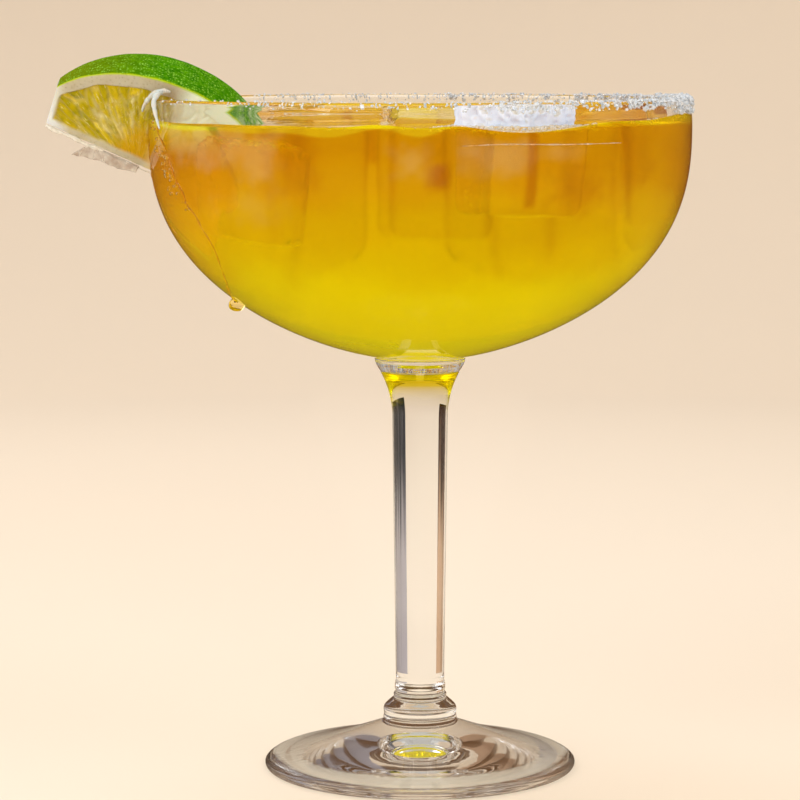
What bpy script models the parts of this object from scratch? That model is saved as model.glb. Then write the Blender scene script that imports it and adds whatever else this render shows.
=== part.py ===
"""Iced cocktail in a round coupe glass with a salted rim and a lime wedge.

Every size is in millimetres and is turned into metres by MM where it is used.
The glass is drawn about its own axis, with the table at height 0. At the end
everything moves together, so that the origin is the bottom centre of the
bounding box, which the lime wedge pulls a little to one side.
"""
import math
import random

import bmesh
import bpy
from mathutils import Euler, Matrix, Vector

MM = 0.001
CLEARANCE = 0.3

# Bowl of the glass
RIM_HEIGHT = 149.0
WIDEST_HEIGHT = 143.0
BOWL_RADIUS = 59.6
BOWL_DEPTH = 52.2
BOWL_ACROSS_POWER = 1.6
BOWL_DOWN_POWER = 2.5
RIM_CURL_RADIUS = 45.0
WALL = 1.7
BOTTOM_WALL = 3.6
RIM_ROUND = 0.8

# Stem, knob and foot of the glass
BOWL_JOINT_RADIUS = 10.1
FLARE_BOTTOM = 78.9
FLARE_TOP = 90.4
FLARE_SPREAD = 3.55
STEM_TOP_RADIUS = 6.15
STEM_BOTTOM_RADIUS = 5.38
STEM_BOTTOM = 19.3
FOOT_RADIUS = 34.75
FOOT_EDGE_RADIUS = 32.5
FOOT_EDGE_TOP = 2.4
FOOT_RISE = 7.6
FOOT_SLOPE_POWER = 1.25
KNOB_RADIUS = 8.2
CONTACT_OUTER = 33.4
CONTACT_INNER = 30.5
DOME_HEIGHT = 3.2
TURN_STEPS = 52

# Drink
DRINK_LEVEL = 143.4
MENISCUS_RISE = 0.6
MENISCUS_WIDTH = 2.4

# Lime wedge
LIME_RADIUS = 25.0
LIME_HALF_LENGTH = 29.1
LIME_END_CUT = 25.3
LIME_END_LEAN = 0.113
LIME_HALF_ANGLE = math.radians(39.0)
LIME_TILT = math.radians(24.5)
LIME_TURN = math.radians(5.5)
LIME_CENTRE = (-58.9, 0.0, 133.1)
CORE_RADIUS = 0.9
CORE_DROP = 0.6
PULP_RADIUS = 21.3
PULP_HALF_LENGTH = 26.3
PULP_END_GAP = 1.1
PULP_HOLLOW = 0.4
FLAP_THICKNESS = 0.6

# Ice cubes that break the surface: side, height, centre x, y, z, turn, lean
ICE_ROUNDING = 2.4
ICE_TAPER = 0.93
ICE_CUBES = (
    (20.0, 21.5, 19.2, -34.2, 137.5, 52.0, 2.0),
    (21.0, 21.0, 43.0, 4.5, 136.4, 12.0, -3.0),
    (20.5, 21.0, 3.2, -12.4, 135.0, 5.0, 2.5),
    (21.0, 20.5, -21.0, 20.0, 134.6, 31.0, -2.0),
    (20.5, 21.0, 15.5, 24.0, 135.4, -22.0, 3.0),
)

# Salt on the rim: zone limits in degrees from the crusted side, grains, size
SALT_ZONES = ((0.0, 23.0, 30, 1.35), (23.0, 51.0, 24, 1.15),
              (51.0, 84.0, 14, 1.0), (84.0, 128.0, 8, 0.85))
SALT_SPACING = 1.7
SALT_SEED = 11


def clear_scene():
    """Remove whatever the file holds, so that the model starts empty."""
    for item in list(bpy.data.objects):
        bpy.data.objects.remove(item, do_unlink=True)
    for group in list(bpy.data.collections):
        bpy.data.collections.remove(group)


def new_collection(name):
    """A collection linked to the scene."""
    group = bpy.data.collections.new(name)
    bpy.context.scene.collection.children.link(group)
    return group


def new_material(name, colour, roughness, transmission=0.0):
    """A Principled material of one colour, shown in the same colour."""
    material = bpy.data.materials.new(name)
    material.use_nodes = True
    shader = material.node_tree.nodes["Principled BSDF"]
    shader.inputs["Base Color"].default_value = (*colour, 1.0)
    shader.inputs["Roughness"].default_value = roughness
    shader.inputs["Metallic"].default_value = 0.0
    shader.inputs["Transmission Weight"].default_value = transmission
    material.diffuse_color = (*colour, 1.0)
    return material


def new_object(name, bm, group, material=None):
    """Turn a bmesh in millimetres into an object in metres."""
    bmesh.ops.recalc_face_normals(bm, faces=bm.faces[:])
    mesh = bpy.data.meshes.new(name)
    bmesh.ops.scale(bm, vec=(MM, MM, MM), verts=bm.verts[:])
    bm.to_mesh(mesh)
    bm.free()
    item = bpy.data.objects.new(name, mesh)
    group.objects.link(item)
    if material:
        mesh.materials.append(material)
    return item


def as_cutter(item):
    """Show an object as a guide only."""
    item.hide_render = True
    item.display_type = 'WIRE'
    return item


def apply_modifiers(item):
    """Replace an object's mesh by its evaluated one."""
    graph = bpy.context.evaluated_depsgraph_get()
    solid = bpy.data.meshes.new_from_object(item.evaluated_get(graph))
    item.modifiers.clear()
    old = item.data
    item.data = solid
    bpy.data.meshes.remove(old)


def shade_round(item, angle_degrees):
    """Smooth shading that keeps edges sharper than the angle."""
    item.data.shade_smooth()
    item.data.set_sharp_from_angle(angle=math.radians(angle_degrees))


def turned(name, profile, group, material=None):
    """Turn a profile of (radius, height) pairs about the glass's axis."""
    mesh = bpy.data.meshes.new(name)
    points = [(radius * MM, 0.0, height * MM) for radius, height in profile]
    mesh.from_pydata(points, [(i, i + 1) for i in range(len(points) - 1)], [])
    item = bpy.data.objects.new(name, mesh)
    group.objects.link(item)
    screw = item.modifiers.new("turn", 'SCREW')
    screw.steps = TURN_STEPS
    screw.render_steps = TURN_STEPS
    screw.use_merge_vertices = True
    screw.merge_threshold = 0.00002
    screw.use_smooth_shade = True
    if material:
        mesh.materials.append(material)
    return item


def boolean(item, name, operation, operand, solver='EXACT'):
    """Add a Boolean modifier with an object or a collection."""
    modifier = item.modifiers.new(name, 'BOOLEAN')
    modifier.operation = operation
    modifier.solver = solver
    if isinstance(operand, bpy.types.Collection):
        modifier.operand_type = 'COLLECTION'
        modifier.collection = operand
    else:
        modifier.object = operand
    return modifier


def bowl_curve(radius, depth, angle):
    """Point of the bowl's squared ellipse, 0 at the widest height."""
    across = max(math.cos(angle), 0.0) ** (2.0 / BOWL_ACROSS_POWER)
    down = max(math.sin(angle), 0.0) ** (2.0 / BOWL_DOWN_POWER)
    return radius * across, WIDEST_HEIGHT - depth * down


def wall_radius(radius, height):
    """Radius above the widest height, where the wall leans in a little."""
    rise = (height - WIDEST_HEIGHT) / RIM_CURL_RADIUS
    return radius * math.sqrt(1.0 - rise * rise)


def inner_bowl(offset, steps):
    """Inner face of the bowl from the axis up to its widest height."""
    radius = BOWL_RADIUS - WALL - offset
    depth = BOWL_DEPTH - BOTTOM_WALL - offset
    quarter = math.pi / 2
    return [bowl_curve(radius, depth, quarter * (1.0 - i / steps))
            for i in range(steps + 1)]


def stem_radius(height):
    """The stem's slow taper."""
    share = (height - STEM_BOTTOM) / (FLARE_BOTTOM - STEM_BOTTOM)
    return STEM_BOTTOM_RADIUS + (STEM_TOP_RADIUS - STEM_BOTTOM_RADIUS) * share


def foot_top(radius):
    """Height of the foot's top face."""
    share = (radius - KNOB_RADIUS) / (FOOT_EDGE_RADIUS - KNOB_RADIUS)
    return FOOT_EDGE_TOP + FOOT_RISE * (1.0 - share) ** FOOT_SLOPE_POWER


def glass_profile():
    """Closed section of the glass, inside first, then down the outside."""
    points = inner_bowl(0.0, 12)
    inner_wall = BOWL_RADIUS - WALL
    points += [(wall_radius(inner_wall, height), height)
               for height in (144.6, 146.4)]
    rim_centre = wall_radius(BOWL_RADIUS, RIM_HEIGHT) - RIM_ROUND
    for i in range(7):
        angle = math.pi * (1.0 - i / 6)
        points.append((rim_centre + RIM_ROUND * math.cos(angle),
                       RIM_HEIGHT - RIM_ROUND * (1.0 - math.sin(angle))))
    points += [(wall_radius(BOWL_RADIUS, height), height)
               for height in (146.4, 144.6)]
    share = (BOWL_JOINT_RADIUS / BOWL_RADIUS) ** (BOWL_ACROSS_POWER / 2)
    last = math.acos(share)
    points += [bowl_curve(BOWL_RADIUS, BOWL_DEPTH, last * i / 12)
               for i in range(13)]
    for i in range(1, 7):
        height = FLARE_TOP + (FLARE_BOTTOM - FLARE_TOP) * i / 6
        rise = (height - FLARE_BOTTOM) / (FLARE_TOP - FLARE_BOTTOM)
        points.append((STEM_TOP_RADIUS + FLARE_SPREAD * rise * rise, height))
    points.append((stem_radius(STEM_BOTTOM), STEM_BOTTOM))
    points += [(5.6, 18.8), (5.65, 17.5), (5.5, 16.9), (5.9, 16.4),
               (5.9, 15.4), (7.9, 13.6), (8.15, 12.8), (8.1, 11.5),
               (KNOB_RADIUS, 10.9), (KNOB_RADIUS, foot_top(KNOB_RADIUS))]
    span = FOOT_EDGE_RADIUS - KNOB_RADIUS
    points += [(KNOB_RADIUS + span * i / 7, foot_top(KNOB_RADIUS + span * i / 7))
               for i in range(1, 8)]
    points += [(34.0, 1.9), (34.6, 1.4), (FOOT_RADIUS, 0.9), (34.4, 0.25),
               (CONTACT_OUTER, 0.0)]
    points += [(CONTACT_INNER * (1.0 - i / 4),
                DOME_HEIGHT * (1.0 - (1.0 - i / 4) ** 2)) for i in range(5)]
    return points


def drink_profile():
    """Section of the drink, from the level's middle down to the bottom."""
    wall = wall_radius(BOWL_RADIUS - WALL, DRINK_LEVEL) - CLEARANCE
    points = [(0.0, DRINK_LEVEL), (wall - MENISCUS_WIDTH, DRINK_LEVEL),
              (wall - 0.3 * MENISCUS_WIDTH, DRINK_LEVEL + 0.3 * MENISCUS_RISE),
              (wall, DRINK_LEVEL + MENISCUS_RISE)]
    return points + inner_bowl(CLEARANCE, 11)[::-1]


def rim_slot_profile():
    """Section of the room that the glass's wall takes out of the lime."""
    room = 1.5 * CLEARANCE
    steps = 10
    lowest = math.radians(34.0)
    outer = [bowl_curve(BOWL_RADIUS + room, BOWL_DEPTH + room, lowest * i / steps)
             for i in range(steps + 1)]
    inner = [bowl_curve(BOWL_RADIUS - WALL - room,
                        BOWL_DEPTH - BOTTOM_WALL - room,
                        lowest * (1.0 - i / steps)) for i in range(steps + 1)]
    top = RIM_HEIGHT + room
    outer_top = wall_radius(BOWL_RADIUS, RIM_HEIGHT) + room
    inner_top = outer_top - 2.0 * RIM_ROUND - 2.0 * room
    crown = [(inner_top, top - 1.0), (inner_top + 0.5, top),
             (outer_top - 0.5, top), (outer_top, top - 1.0)]
    ring = inner + crown + outer
    return ring + ring[:1]


def trim(bm, point, normal):
    """Cut a closed bmesh with a plane, drop what is beyond it, close it."""
    parts = bm.verts[:] + bm.edges[:] + bm.faces[:]
    bmesh.ops.bisect_plane(bm, geom=parts, plane_co=point, plane_no=normal,
                           clear_outer=True)
    bmesh.ops.holes_fill(bm, edges=[e for e in bm.edges if e.is_boundary])


def lime_frame():
    """Placement of the lime: its core tilts down into the glass."""
    turn = Matrix.Rotation(LIME_TURN, 4, 'Z') @ Matrix.Rotation(LIME_TILT, 4, 'Y')
    return Matrix.Translation(LIME_CENTRE) @ turn


def trim_end(bm, side, reach):
    """Cut one end of the lime flat, leaning out a little towards its skin."""
    normal = Vector((side, 0.0, -LIME_END_LEAN)).normalized()
    trim(bm, Vector((side * reach, 0.0, 0.0)), normal)


def lime_wedge_shape(grow):
    """An ellipsoid cut by the wedge's two faces and its two flat ends."""
    bm = bmesh.new()
    bmesh.ops.create_uvsphere(bm, u_segments=44, v_segments=18, radius=1.0)
    bmesh.ops.rotate(bm, matrix=Matrix.Rotation(math.pi / 2, 3, 'Y'),
                     verts=bm.verts[:])
    radius = LIME_RADIUS + grow
    bmesh.ops.scale(bm, vec=(LIME_HALF_LENGTH + grow, radius, radius),
                    verts=bm.verts[:])
    for side in (-1.0, 1.0):
        normal = Vector((0.0, side * math.cos(LIME_HALF_ANGLE),
                         -math.sin(LIME_HALF_ANGLE)))
        trim(bm, normal * (0.1 + grow), normal)
        trim_end(bm, side, LIME_END_CUT + grow)
    bmesh.ops.transform(bm, matrix=lime_frame(), verts=bm.verts[:])
    return bm


def lime_core_shape(grow):
    """The white core along the wedge's inner edge."""
    bm = bmesh.new()
    radius = CORE_RADIUS + grow
    bmesh.ops.create_cone(bm, cap_ends=True, segments=12, radius1=radius,
                          radius2=radius, depth=2.0 * (LIME_END_CUT - 0.2 + grow))
    bmesh.ops.rotate(bm, matrix=Matrix.Rotation(math.pi / 2, 3, 'Y'),
                     verts=bm.verts[:])
    bmesh.ops.translate(bm, vec=(0.0, 0.0, -CORE_DROP), verts=bm.verts[:])
    bmesh.ops.transform(bm, matrix=lime_frame(), verts=bm.verts[:])
    return bm


def pulp_hollow_shape(side):
    """Half an oval plate that sinks one face's pulp inside its pith."""
    bm = bmesh.new()
    bmesh.ops.create_cone(bm, cap_ends=True, segments=44, radius1=1.0,
                          radius2=1.0, depth=2.0)
    bmesh.ops.rotate(bm, matrix=Matrix.Rotation(math.pi / 2, 3, 'X'),
                     verts=bm.verts[:])
    size = (PULP_HALF_LENGTH, PULP_HOLLOW, PULP_RADIUS)
    bmesh.ops.scale(bm, vec=size, verts=bm.verts[:])
    trim(bm, Vector((0.0, 0.0, CORE_RADIUS)), Vector((0.0, 0.0, -1.0)))
    for end in (-1.0, 1.0):
        trim_end(bm, end, LIME_END_CUT - PULP_END_GAP)
    place = lime_frame() @ Matrix.Rotation(side * LIME_HALF_ANGLE, 4, 'X')
    bmesh.ops.transform(bm, matrix=place, verts=bm.verts[:])
    return bm


def core_flap_shape():
    """A torn strip of membrane that hangs below the core's outer half."""
    outline = ((-17.6, -4.1), (-13.8, -3.2), (-7.1, -2.6), (-3.2, -1.9),
               (-3.0, -0.8), (-14.2, -0.8), (-14.9, -1.8))
    bm = bmesh.new()
    face = bm.faces.new([bm.verts.new((x, -0.5 * FLAP_THICKNESS, z))
                         for x, z in outline])
    moved = bmesh.ops.extrude_face_region(bm, geom=[face])["geom"]
    tips = [v for v in moved if isinstance(v, bmesh.types.BMVert)]
    bmesh.ops.translate(bm, vec=(0.0, FLAP_THICKNESS, 0.0), verts=tips)
    bmesh.ops.transform(bm, matrix=lime_frame(), verts=bm.verts[:])
    return bm


def ice_shape(side, height, grow):
    """A tapered cube from a tray, before it is rounded."""
    bm = bmesh.new()
    bmesh.ops.create_cube(bm, size=1.0)
    size = (side + 2 * grow, side + 2 * grow, height + 2 * grow)
    bmesh.ops.scale(bm, vec=size, verts=bm.verts[:])
    low = [v for v in bm.verts if v.co.z < 0.0]
    bmesh.ops.scale(bm, vec=(ICE_TAPER, ICE_TAPER, 1.0), verts=low)
    return bm


def ice_cube(name, cube, grow, group, material=None):
    """One ice cube at its place in the drink, or the room it takes."""
    side, height, x, y, z, turn, lean = cube
    item = new_object(name, ice_shape(side, height, grow), group, material)
    item.location = (x * MM, y * MM, z * MM)
    item.rotation_euler = Euler((math.radians(lean), math.radians(0.6 * lean),
                                 math.radians(turn)))
    bevel = item.modifiers.new("melted edges", 'BEVEL')
    bevel.width = (ICE_ROUNDING + grow) * MM
    bevel.segments = 2
    bevel.limit_method = 'ANGLE'
    return item


def salt_grain(bm_size, spin):
    """A salt crystal: a small cube with a random turn."""
    bm = bmesh.new()
    bmesh.ops.create_cube(bm, size=bm_size)
    bmesh.ops.rotate(bm, matrix=spin.to_matrix(), verts=bm.verts[:])
    return bm


def rim_place(bearing, climb):
    """Place on the rim: climb 0 at its inner side, 1 outside, more lower."""
    centre = wall_radius(BOWL_RADIUS, RIM_HEIGHT) - RIM_ROUND
    angle = math.pi * (1.0 - min(climb, 1.0))
    drop = max(climb - 1.0, 0.0) * 5.0
    height = RIM_HEIGHT - RIM_ROUND * (1.0 - math.sin(angle)) - drop
    radius = centre + RIM_ROUND * math.cos(angle)
    if drop:
        radius = wall_radius(BOWL_RADIUS, height)
    return Vector((radius * math.cos(bearing), radius * math.sin(bearing), height))


def add_salt(group):
    """Scatter the salt: crusted at one side, thinner towards the lime."""
    draw = random.Random(SALT_SEED)
    placed = []
    for start, stop, count, size in SALT_ZONES:
        made = 0
        for attempt in range(40 * count):
            if made == count:
                break
            step = (attempt * 0.618034 + draw.uniform(-0.05, 0.05)) % 1.0
            bearing = math.radians(start + (stop - start) * step)
            bearing *= draw.choice((-1.0, 1.0))
            lowest = 1.9 if start == 0.0 else 1.2
            place = rim_place(bearing, draw.uniform(0.15, lowest))
            if any((place - other).length < SALT_SPACING for other in placed):
                continue
            placed.append(place)
            made += 1
            grain = size * draw.uniform(0.85, 1.1)
            spin = Euler([draw.uniform(0.2, 1.3) for axis in range(3)])
            bm = salt_grain(grain, spin)
            bmesh.ops.translate(bm, vec=place, verts=bm.verts[:])
            new_object("salt_grain", bm, group)


def centre_on_base(parts, others):
    """Move all objects so that the origin is under the bounds' middle."""
    graph = bpy.context.evaluated_depsgraph_get()
    corners = []
    for item in parts.objects:
        mesh = item.evaluated_get(graph).data
        corners += [item.matrix_world @ v.co for v in mesh.vertices]
    low = [min(c[i] for c in corners) for i in range(3)]
    high = [max(c[i] for c in corners) for i in range(3)]
    shift = Vector((-(low[0] + high[0]) / 2, -(low[1] + high[1]) / 2, -low[2]))
    for item in list(parts.objects) + list(others.objects):
        item.location += shift


def main():
    clear_scene()
    parts = new_collection("iced_cocktail")
    cutters = new_collection("cutters")

    glass_look = new_material("clear_glass", (0.93, 0.96, 0.96), 0.03, 0.9)
    drink_look = new_material("yellow_orange_drink", (0.86, 0.50, 0.03), 0.08, 0.3)
    ice_look = new_material("clear_ice", (0.94, 0.93, 0.88), 0.15, 0.6)
    lime_look = new_material("lime", (0.16, 0.36, 0.02), 0.4)

    glass = turned("glass", glass_profile(), parts, glass_look)
    salt = new_collection("salt")
    add_salt(salt)
    boolean(glass, "salted rim", 'UNION', salt, 'MANIFOLD')
    bpy.context.view_layer.update()
    apply_modifiers(glass)
    for grain in list(salt.objects):
        bpy.data.objects.remove(grain, do_unlink=True)
    bpy.data.collections.remove(salt)
    shade_round(glass, 35.0)

    drink = turned("drink", drink_profile(), parts, drink_look)
    for number, cube in enumerate(ICE_CUBES, 1):
        ice_cube(f"ice_cube_{number}", cube, 0.0, parts, ice_look)
        room = as_cutter(ice_cube(f"ice_room_{number}", cube, CLEARANCE, cutters))
        boolean(drink, f"ice {number}", 'DIFFERENCE', room)
    for name, shape in (("lime_room", lime_wedge_shape(CLEARANCE)),
                        ("core_room", lime_core_shape(CLEARANCE))):
        room = as_cutter(new_object(name, shape, cutters))
        boolean(drink, name, 'DIFFERENCE', room)

    lime = new_object("lime_wedge", lime_wedge_shape(0.0), parts, lime_look)
    for side, name in ((1.0, "front_pulp"), (-1.0, "back_pulp")):
        hollow = as_cutter(new_object(name, pulp_hollow_shape(side), cutters))
        boolean(lime, name, 'DIFFERENCE', hollow)
    core = as_cutter(new_object("core", lime_core_shape(0.0), cutters))
    boolean(lime, "core", 'UNION', core)
    flap = as_cutter(new_object("core_flap", core_flap_shape(), cutters))
    boolean(lime, "torn membrane", 'UNION', flap)
    slot = as_cutter(turned("rim_slot", rim_slot_profile(), cutters))
    boolean(lime, "slit for the rim", 'DIFFERENCE', slot)
    shade_round(lime, 30.0)

    bpy.context.view_layer.update()
    centre_on_base(parts, cutters)


main()
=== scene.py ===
"""Dresses an iced cocktail in its round coupe glass and sets it in a pale studio.

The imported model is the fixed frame. Every form below is drawn in millimetres about
the glass's own axis, with its foot at height 0, and to_row() moves it into the
row's frame in metres. A bearing is an angle in degrees round that axis: 0 faces the
viewer, 90 is the side with the salt crust and -90 the side with the lime.
"""

import logging
import math
from dataclasses import dataclass
from enum import Enum, IntEnum
from typing import Callable, Iterable, Optional, Sequence, Tuple, Union

import bmesh
import bpy
import numpy as np
from bpy.types import Material, Mesh, Node, NodeOutputs, NodeSocket, NodeTree, Object
from mathutils import Euler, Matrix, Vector

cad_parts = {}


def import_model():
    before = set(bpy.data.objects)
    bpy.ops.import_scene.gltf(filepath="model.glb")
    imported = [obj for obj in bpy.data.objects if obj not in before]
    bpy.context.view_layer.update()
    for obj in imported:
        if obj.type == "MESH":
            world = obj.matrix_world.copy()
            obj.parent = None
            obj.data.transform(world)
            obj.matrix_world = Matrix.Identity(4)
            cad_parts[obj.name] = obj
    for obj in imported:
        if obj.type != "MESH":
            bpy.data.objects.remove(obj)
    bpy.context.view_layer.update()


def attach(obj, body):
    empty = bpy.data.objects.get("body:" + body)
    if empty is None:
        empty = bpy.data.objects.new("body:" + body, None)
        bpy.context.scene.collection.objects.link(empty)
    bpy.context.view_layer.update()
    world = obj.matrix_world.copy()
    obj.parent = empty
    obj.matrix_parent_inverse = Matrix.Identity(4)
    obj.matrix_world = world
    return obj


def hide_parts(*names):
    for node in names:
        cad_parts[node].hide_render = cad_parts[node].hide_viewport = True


LOG = logging.getLogger("coupe_cocktail")

MM = 0.001
AXIS_X = 11.166
BODY = "root"
WAVE_STEPS = np.array([127.1, 311.7, 74.7])

Array = np.ndarray
Form = Tuple[Array, list]
Colour = Tuple[float, float, float, float]
Point = Tuple[float, float, float]
Socket = Union[float, Colour, Point, NodeSocket]


# Small helpers
def srgb(*channels: int) -> Colour:
    """A screen colour with channels from 0 to 255 as linear light, with an alpha of 1."""
    parts = (value / 255.0 for value in channels)
    return (*(s / 12.92 if s <= 0.04045 else ((s + 0.055) / 1.055) ** 2.4 for s in parts), 1.0)


def smoothstep(low: float, high: float, value: Array) -> Array:
    """A soft step from 0 where the value is at low to 1 where it is at high."""
    share = np.clip((np.asarray(value, float) - low) / (high - low), 0.0, 1.0)
    return share * share * (3.0 - 2.0 * share)


def scatter(cells: Array, seed: float) -> Array:
    """One fixed random number from 0 to 1 for each row of whole numbers."""
    wave = np.sin(cells @ WAVE_STEPS[: cells.shape[-1]] + seed * 19.19) * 43758.5453
    return wave - np.floor(wave)


def soft_noise(points: Array, spacing: float, seed: float = 0.0) -> Array:
    """Smooth noise between -1 and 1 with bumps about spacing apart.

    Args:
        points: rows of coordinates.
        spacing: distance between bumps, in the points' unit.
        seed: another seed gives another pattern.

    Returns:
        One value for each row.
    """
    grid = np.asarray(points, float) / spacing
    base = np.floor(grid)
    part = grid - base
    part = part * part * (3.0 - 2.0 * part)
    size = grid.shape[-1]
    total = np.zeros(grid.shape[:-1])
    for corner in range(2 ** size):
        step = np.array([(corner >> axis) & 1 for axis in range(size)])
        share = np.prod(np.where(step, part, 1.0 - part), axis=-1)
        total += share * scatter(base + step, seed)
    return total * 2.0 - 1.0


def rows_of(*parts: Array) -> Array:
    """Arrays set side by side as the columns of one."""
    return np.stack(parts, axis=-1)


def round_axis(bearing: Array, radius: Array, height: Array) -> Array:
    """Rows of x, y, z in mm about the axis from bearings in degrees, radii and heights."""
    turn = np.radians(bearing)
    return rows_of(*np.broadcast_arrays(radius * np.sin(turn), -radius * np.cos(turn), height))


def to_row(points: Array) -> Array:
    """Millimetres about the glass's axis as metres in the row's frame."""
    return (np.asarray(points, float).reshape(-1, 3) + (AXIS_X, 0.0, 0.0)) * MM


def grid_faces(rows: int, columns: int, closed: bool = False, start: int = 0) -> list:
    """Four-cornered faces over a grid of points kept row by row.

    Args:
        rows: rows of points.
        columns: points in a row.
        closed: whether each row joins its own start.
        start: number of the first point.

    Returns:
        Faces as lists of point numbers.
    """
    across = np.arange(columns if closed else columns - 1)
    row = np.arange(rows - 1)[:, None] * columns + start
    here, there = row + across, row + (across + 1) % columns
    faces = rows_of(here, there, there + columns, here + columns)
    return faces.reshape(-1, 4).tolist()


def keep_masks(mesh: Mesh, masks: dict) -> None:
    """Keeps a number at each point of a mesh, for each name in masks."""
    for key, values in masks.items():
        mesh.attributes.new(key, "FLOAT", "POINT").data.foreach_set("value", np.float32(values).ravel())


def make_piece(name: str, points: Array, faces: Sequence[Sequence[int]],
               *finishes: Material, parts: Optional[Array] = None,
               masks: Optional[dict] = None, tidy: float = 0.0) -> Object:
    """Makes a smooth mesh piece that rides on the glass's body.

    Args:
        name: the piece's name.
        points: rows of x, y, z in mm about the glass's axis.
        faces: point numbers of each face.
        finishes: the piece's materials.
        parts: which finish each face has, the first if left out.
        masks: numbers kept at each point, by name, for its material.
        tidy: distance in mm under which points merge and faces are turned outwards.

    Returns:
        The new object.
    """
    mesh = bpy.data.meshes.new(name)
    mesh.from_pydata(to_row(points).tolist(), [], [list(face) for face in faces])
    for finish in finishes:
        mesh.materials.append(finish)
    if parts is not None:
        mesh.polygons.foreach_set("material_index", np.asarray(parts, np.int32))
    keep_masks(mesh, masks or {})
    if tidy:
        work = bmesh.new()
        work.from_mesh(mesh)
        bmesh.ops.remove_doubles(work, verts=work.verts[:], dist=tidy * MM)
        bmesh.ops.recalc_face_normals(work, faces=work.faces[:])
        work.to_mesh(mesh)
        work.free()
    mesh.polygons.foreach_set("use_smooth", [True] * len(mesh.polygons))
    mesh.update()
    piece = bpy.data.objects.new(name, mesh)
    bpy.context.scene.collection.objects.link(piece)
    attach(piece, BODY)
    return piece


def turned(section: Array, steps: int) -> Form:
    """Turns a section about the axis.

    Args:
        section: rows of radius and height, first and last on the axis.
        steps: points in each ring.

    Returns:
        The points in mm and their faces.
    """
    bearings = np.linspace(0.0, 360.0, steps, endpoint=False)
    rings = [round_axis(bearings, radius, height) for radius, height in section[1:-1]]
    points = np.concatenate(rings)
    count = len(points)
    poles = [(0.0, 0.0, section[0][1]), (0.0, 0.0, section[-1][1])]
    faces = grid_faces(len(section) - 2, steps, closed=True)
    last = count - steps
    for i in range(steps):
        j = (i + 1) % steps
        faces += [[count, j, i], [count + 1, last + i, last + j]]
    return np.concatenate([points, poles]), faces


def tube(path: Array, radii: Array, sides: int = 14) -> Form:
    """A closed round strand along a path, with rounded ends.

    Args:
        path: rows of x, y, z in mm.
        radii: the strand's radius at each row.
        sides: points round it.

    Returns:
        The points in mm and their faces.
    """
    path = np.asarray(path, float)
    along = np.gradient(path, axis=0)
    along /= np.linalg.norm(along, axis=1)[:, None]
    side = np.cross(along[0], (0.3, 0.2, 0.9))
    rings = []
    for spot, way, radius in zip(path, along, radii):
        side = side - way * (side @ way)
        side = side / np.linalg.norm(side)
        other = np.cross(way, side)
        turn = np.linspace(0.0, 2.0 * math.pi, sides, endpoint=False)[:, None]
        rings.append(spot + radius * (np.cos(turn) * side + np.sin(turn) * other))
    points = np.concatenate(rings)
    faces = grid_faces(len(path), sides, closed=True)
    faces += [list(range(sides))[::-1], list(range(len(points) - sides, len(points)))]
    return points, faces


def curve_through(knots: Sequence[Sequence[float]], count: int) -> Array:
    """A smooth run of rows through a few given rows.

    Args:
        knots: the rows to pass through.
        count: rows in the result.

    Returns:
        Rows spaced evenly in the knots' order.
    """
    knots = np.asarray(knots, float)
    padded = np.concatenate([2 * knots[:1] - knots[1:2], knots, 2 * knots[-1:] - knots[-2:-1]])
    where = np.linspace(0.0, len(knots) - 1.0, count)
    piece = np.minimum(where.astype(int), len(knots) - 2)
    t = (where - piece)[:, None]
    a, b, c, d = (padded[piece + i] for i in range(4))
    return 0.5 * (2 * b + (c - a) * t + (2 * a - 5 * b + 4 * c - d) * t ** 2
                  + (3 * b - a - 3 * c + d) * t ** 3)


def ball(stacks: int, sides: int) -> Form:
    """A ball of radius 1 about the origin, from its steps between poles and its sides."""
    tilt = np.linspace(0.0, math.pi, stacks + 1)
    return turned(rows_of(np.sin(tilt), np.cos(tilt)), sides)


def many(shape: Form, matrices: Array, centres: Array) -> Form:
    """Copies of one small shape as a single set of points and faces.

    Args:
        shape: its points and faces.
        matrices: a 3 by 3 matrix for each copy.
        centres: the place of each copy in mm.

    Returns:
        The joined points and faces.
    """
    points, faces = shape
    placed = np.einsum("nij,kj->nki", matrices, points) + centres[:, None, :]
    size = len(points)
    copies = [[corner + size * i for corner in face]
              for i in range(len(centres)) for face in faces]
    return placed.reshape(-1, 3), copies


def joined(first: Form, second: Form) -> Form:
    """Two shapes as a single set of points and faces."""
    moved = [[corner + len(first[0]) for corner in face] for face in second[1]]
    return np.concatenate([first[0], second[0]]), first[1] + moved


def random_turns(draw: np.random.Generator, count: int) -> Array:
    """Random rotation matrices.

    Args:
        draw: the seeded source of random numbers.
        count: how many matrices.

    Returns:
        An array of count matrices of 3 by 3.
    """
    q = draw.normal(size=(count, 4))
    w, x, y, z = (q / np.linalg.norm(q, axis=1)[:, None]).T
    return rows_of(
        1 - 2 * (y * y + z * z), 2 * (x * y - w * z), 2 * (x * z + w * y),
        2 * (x * y + w * z), 1 - 2 * (x * x + z * z), 2 * (y * z - w * x),
        2 * (x * z - w * y), 2 * (y * z + w * x), 1 - 2 * (x * x + y * y),
    ).reshape(-1, 3, 3)


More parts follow.
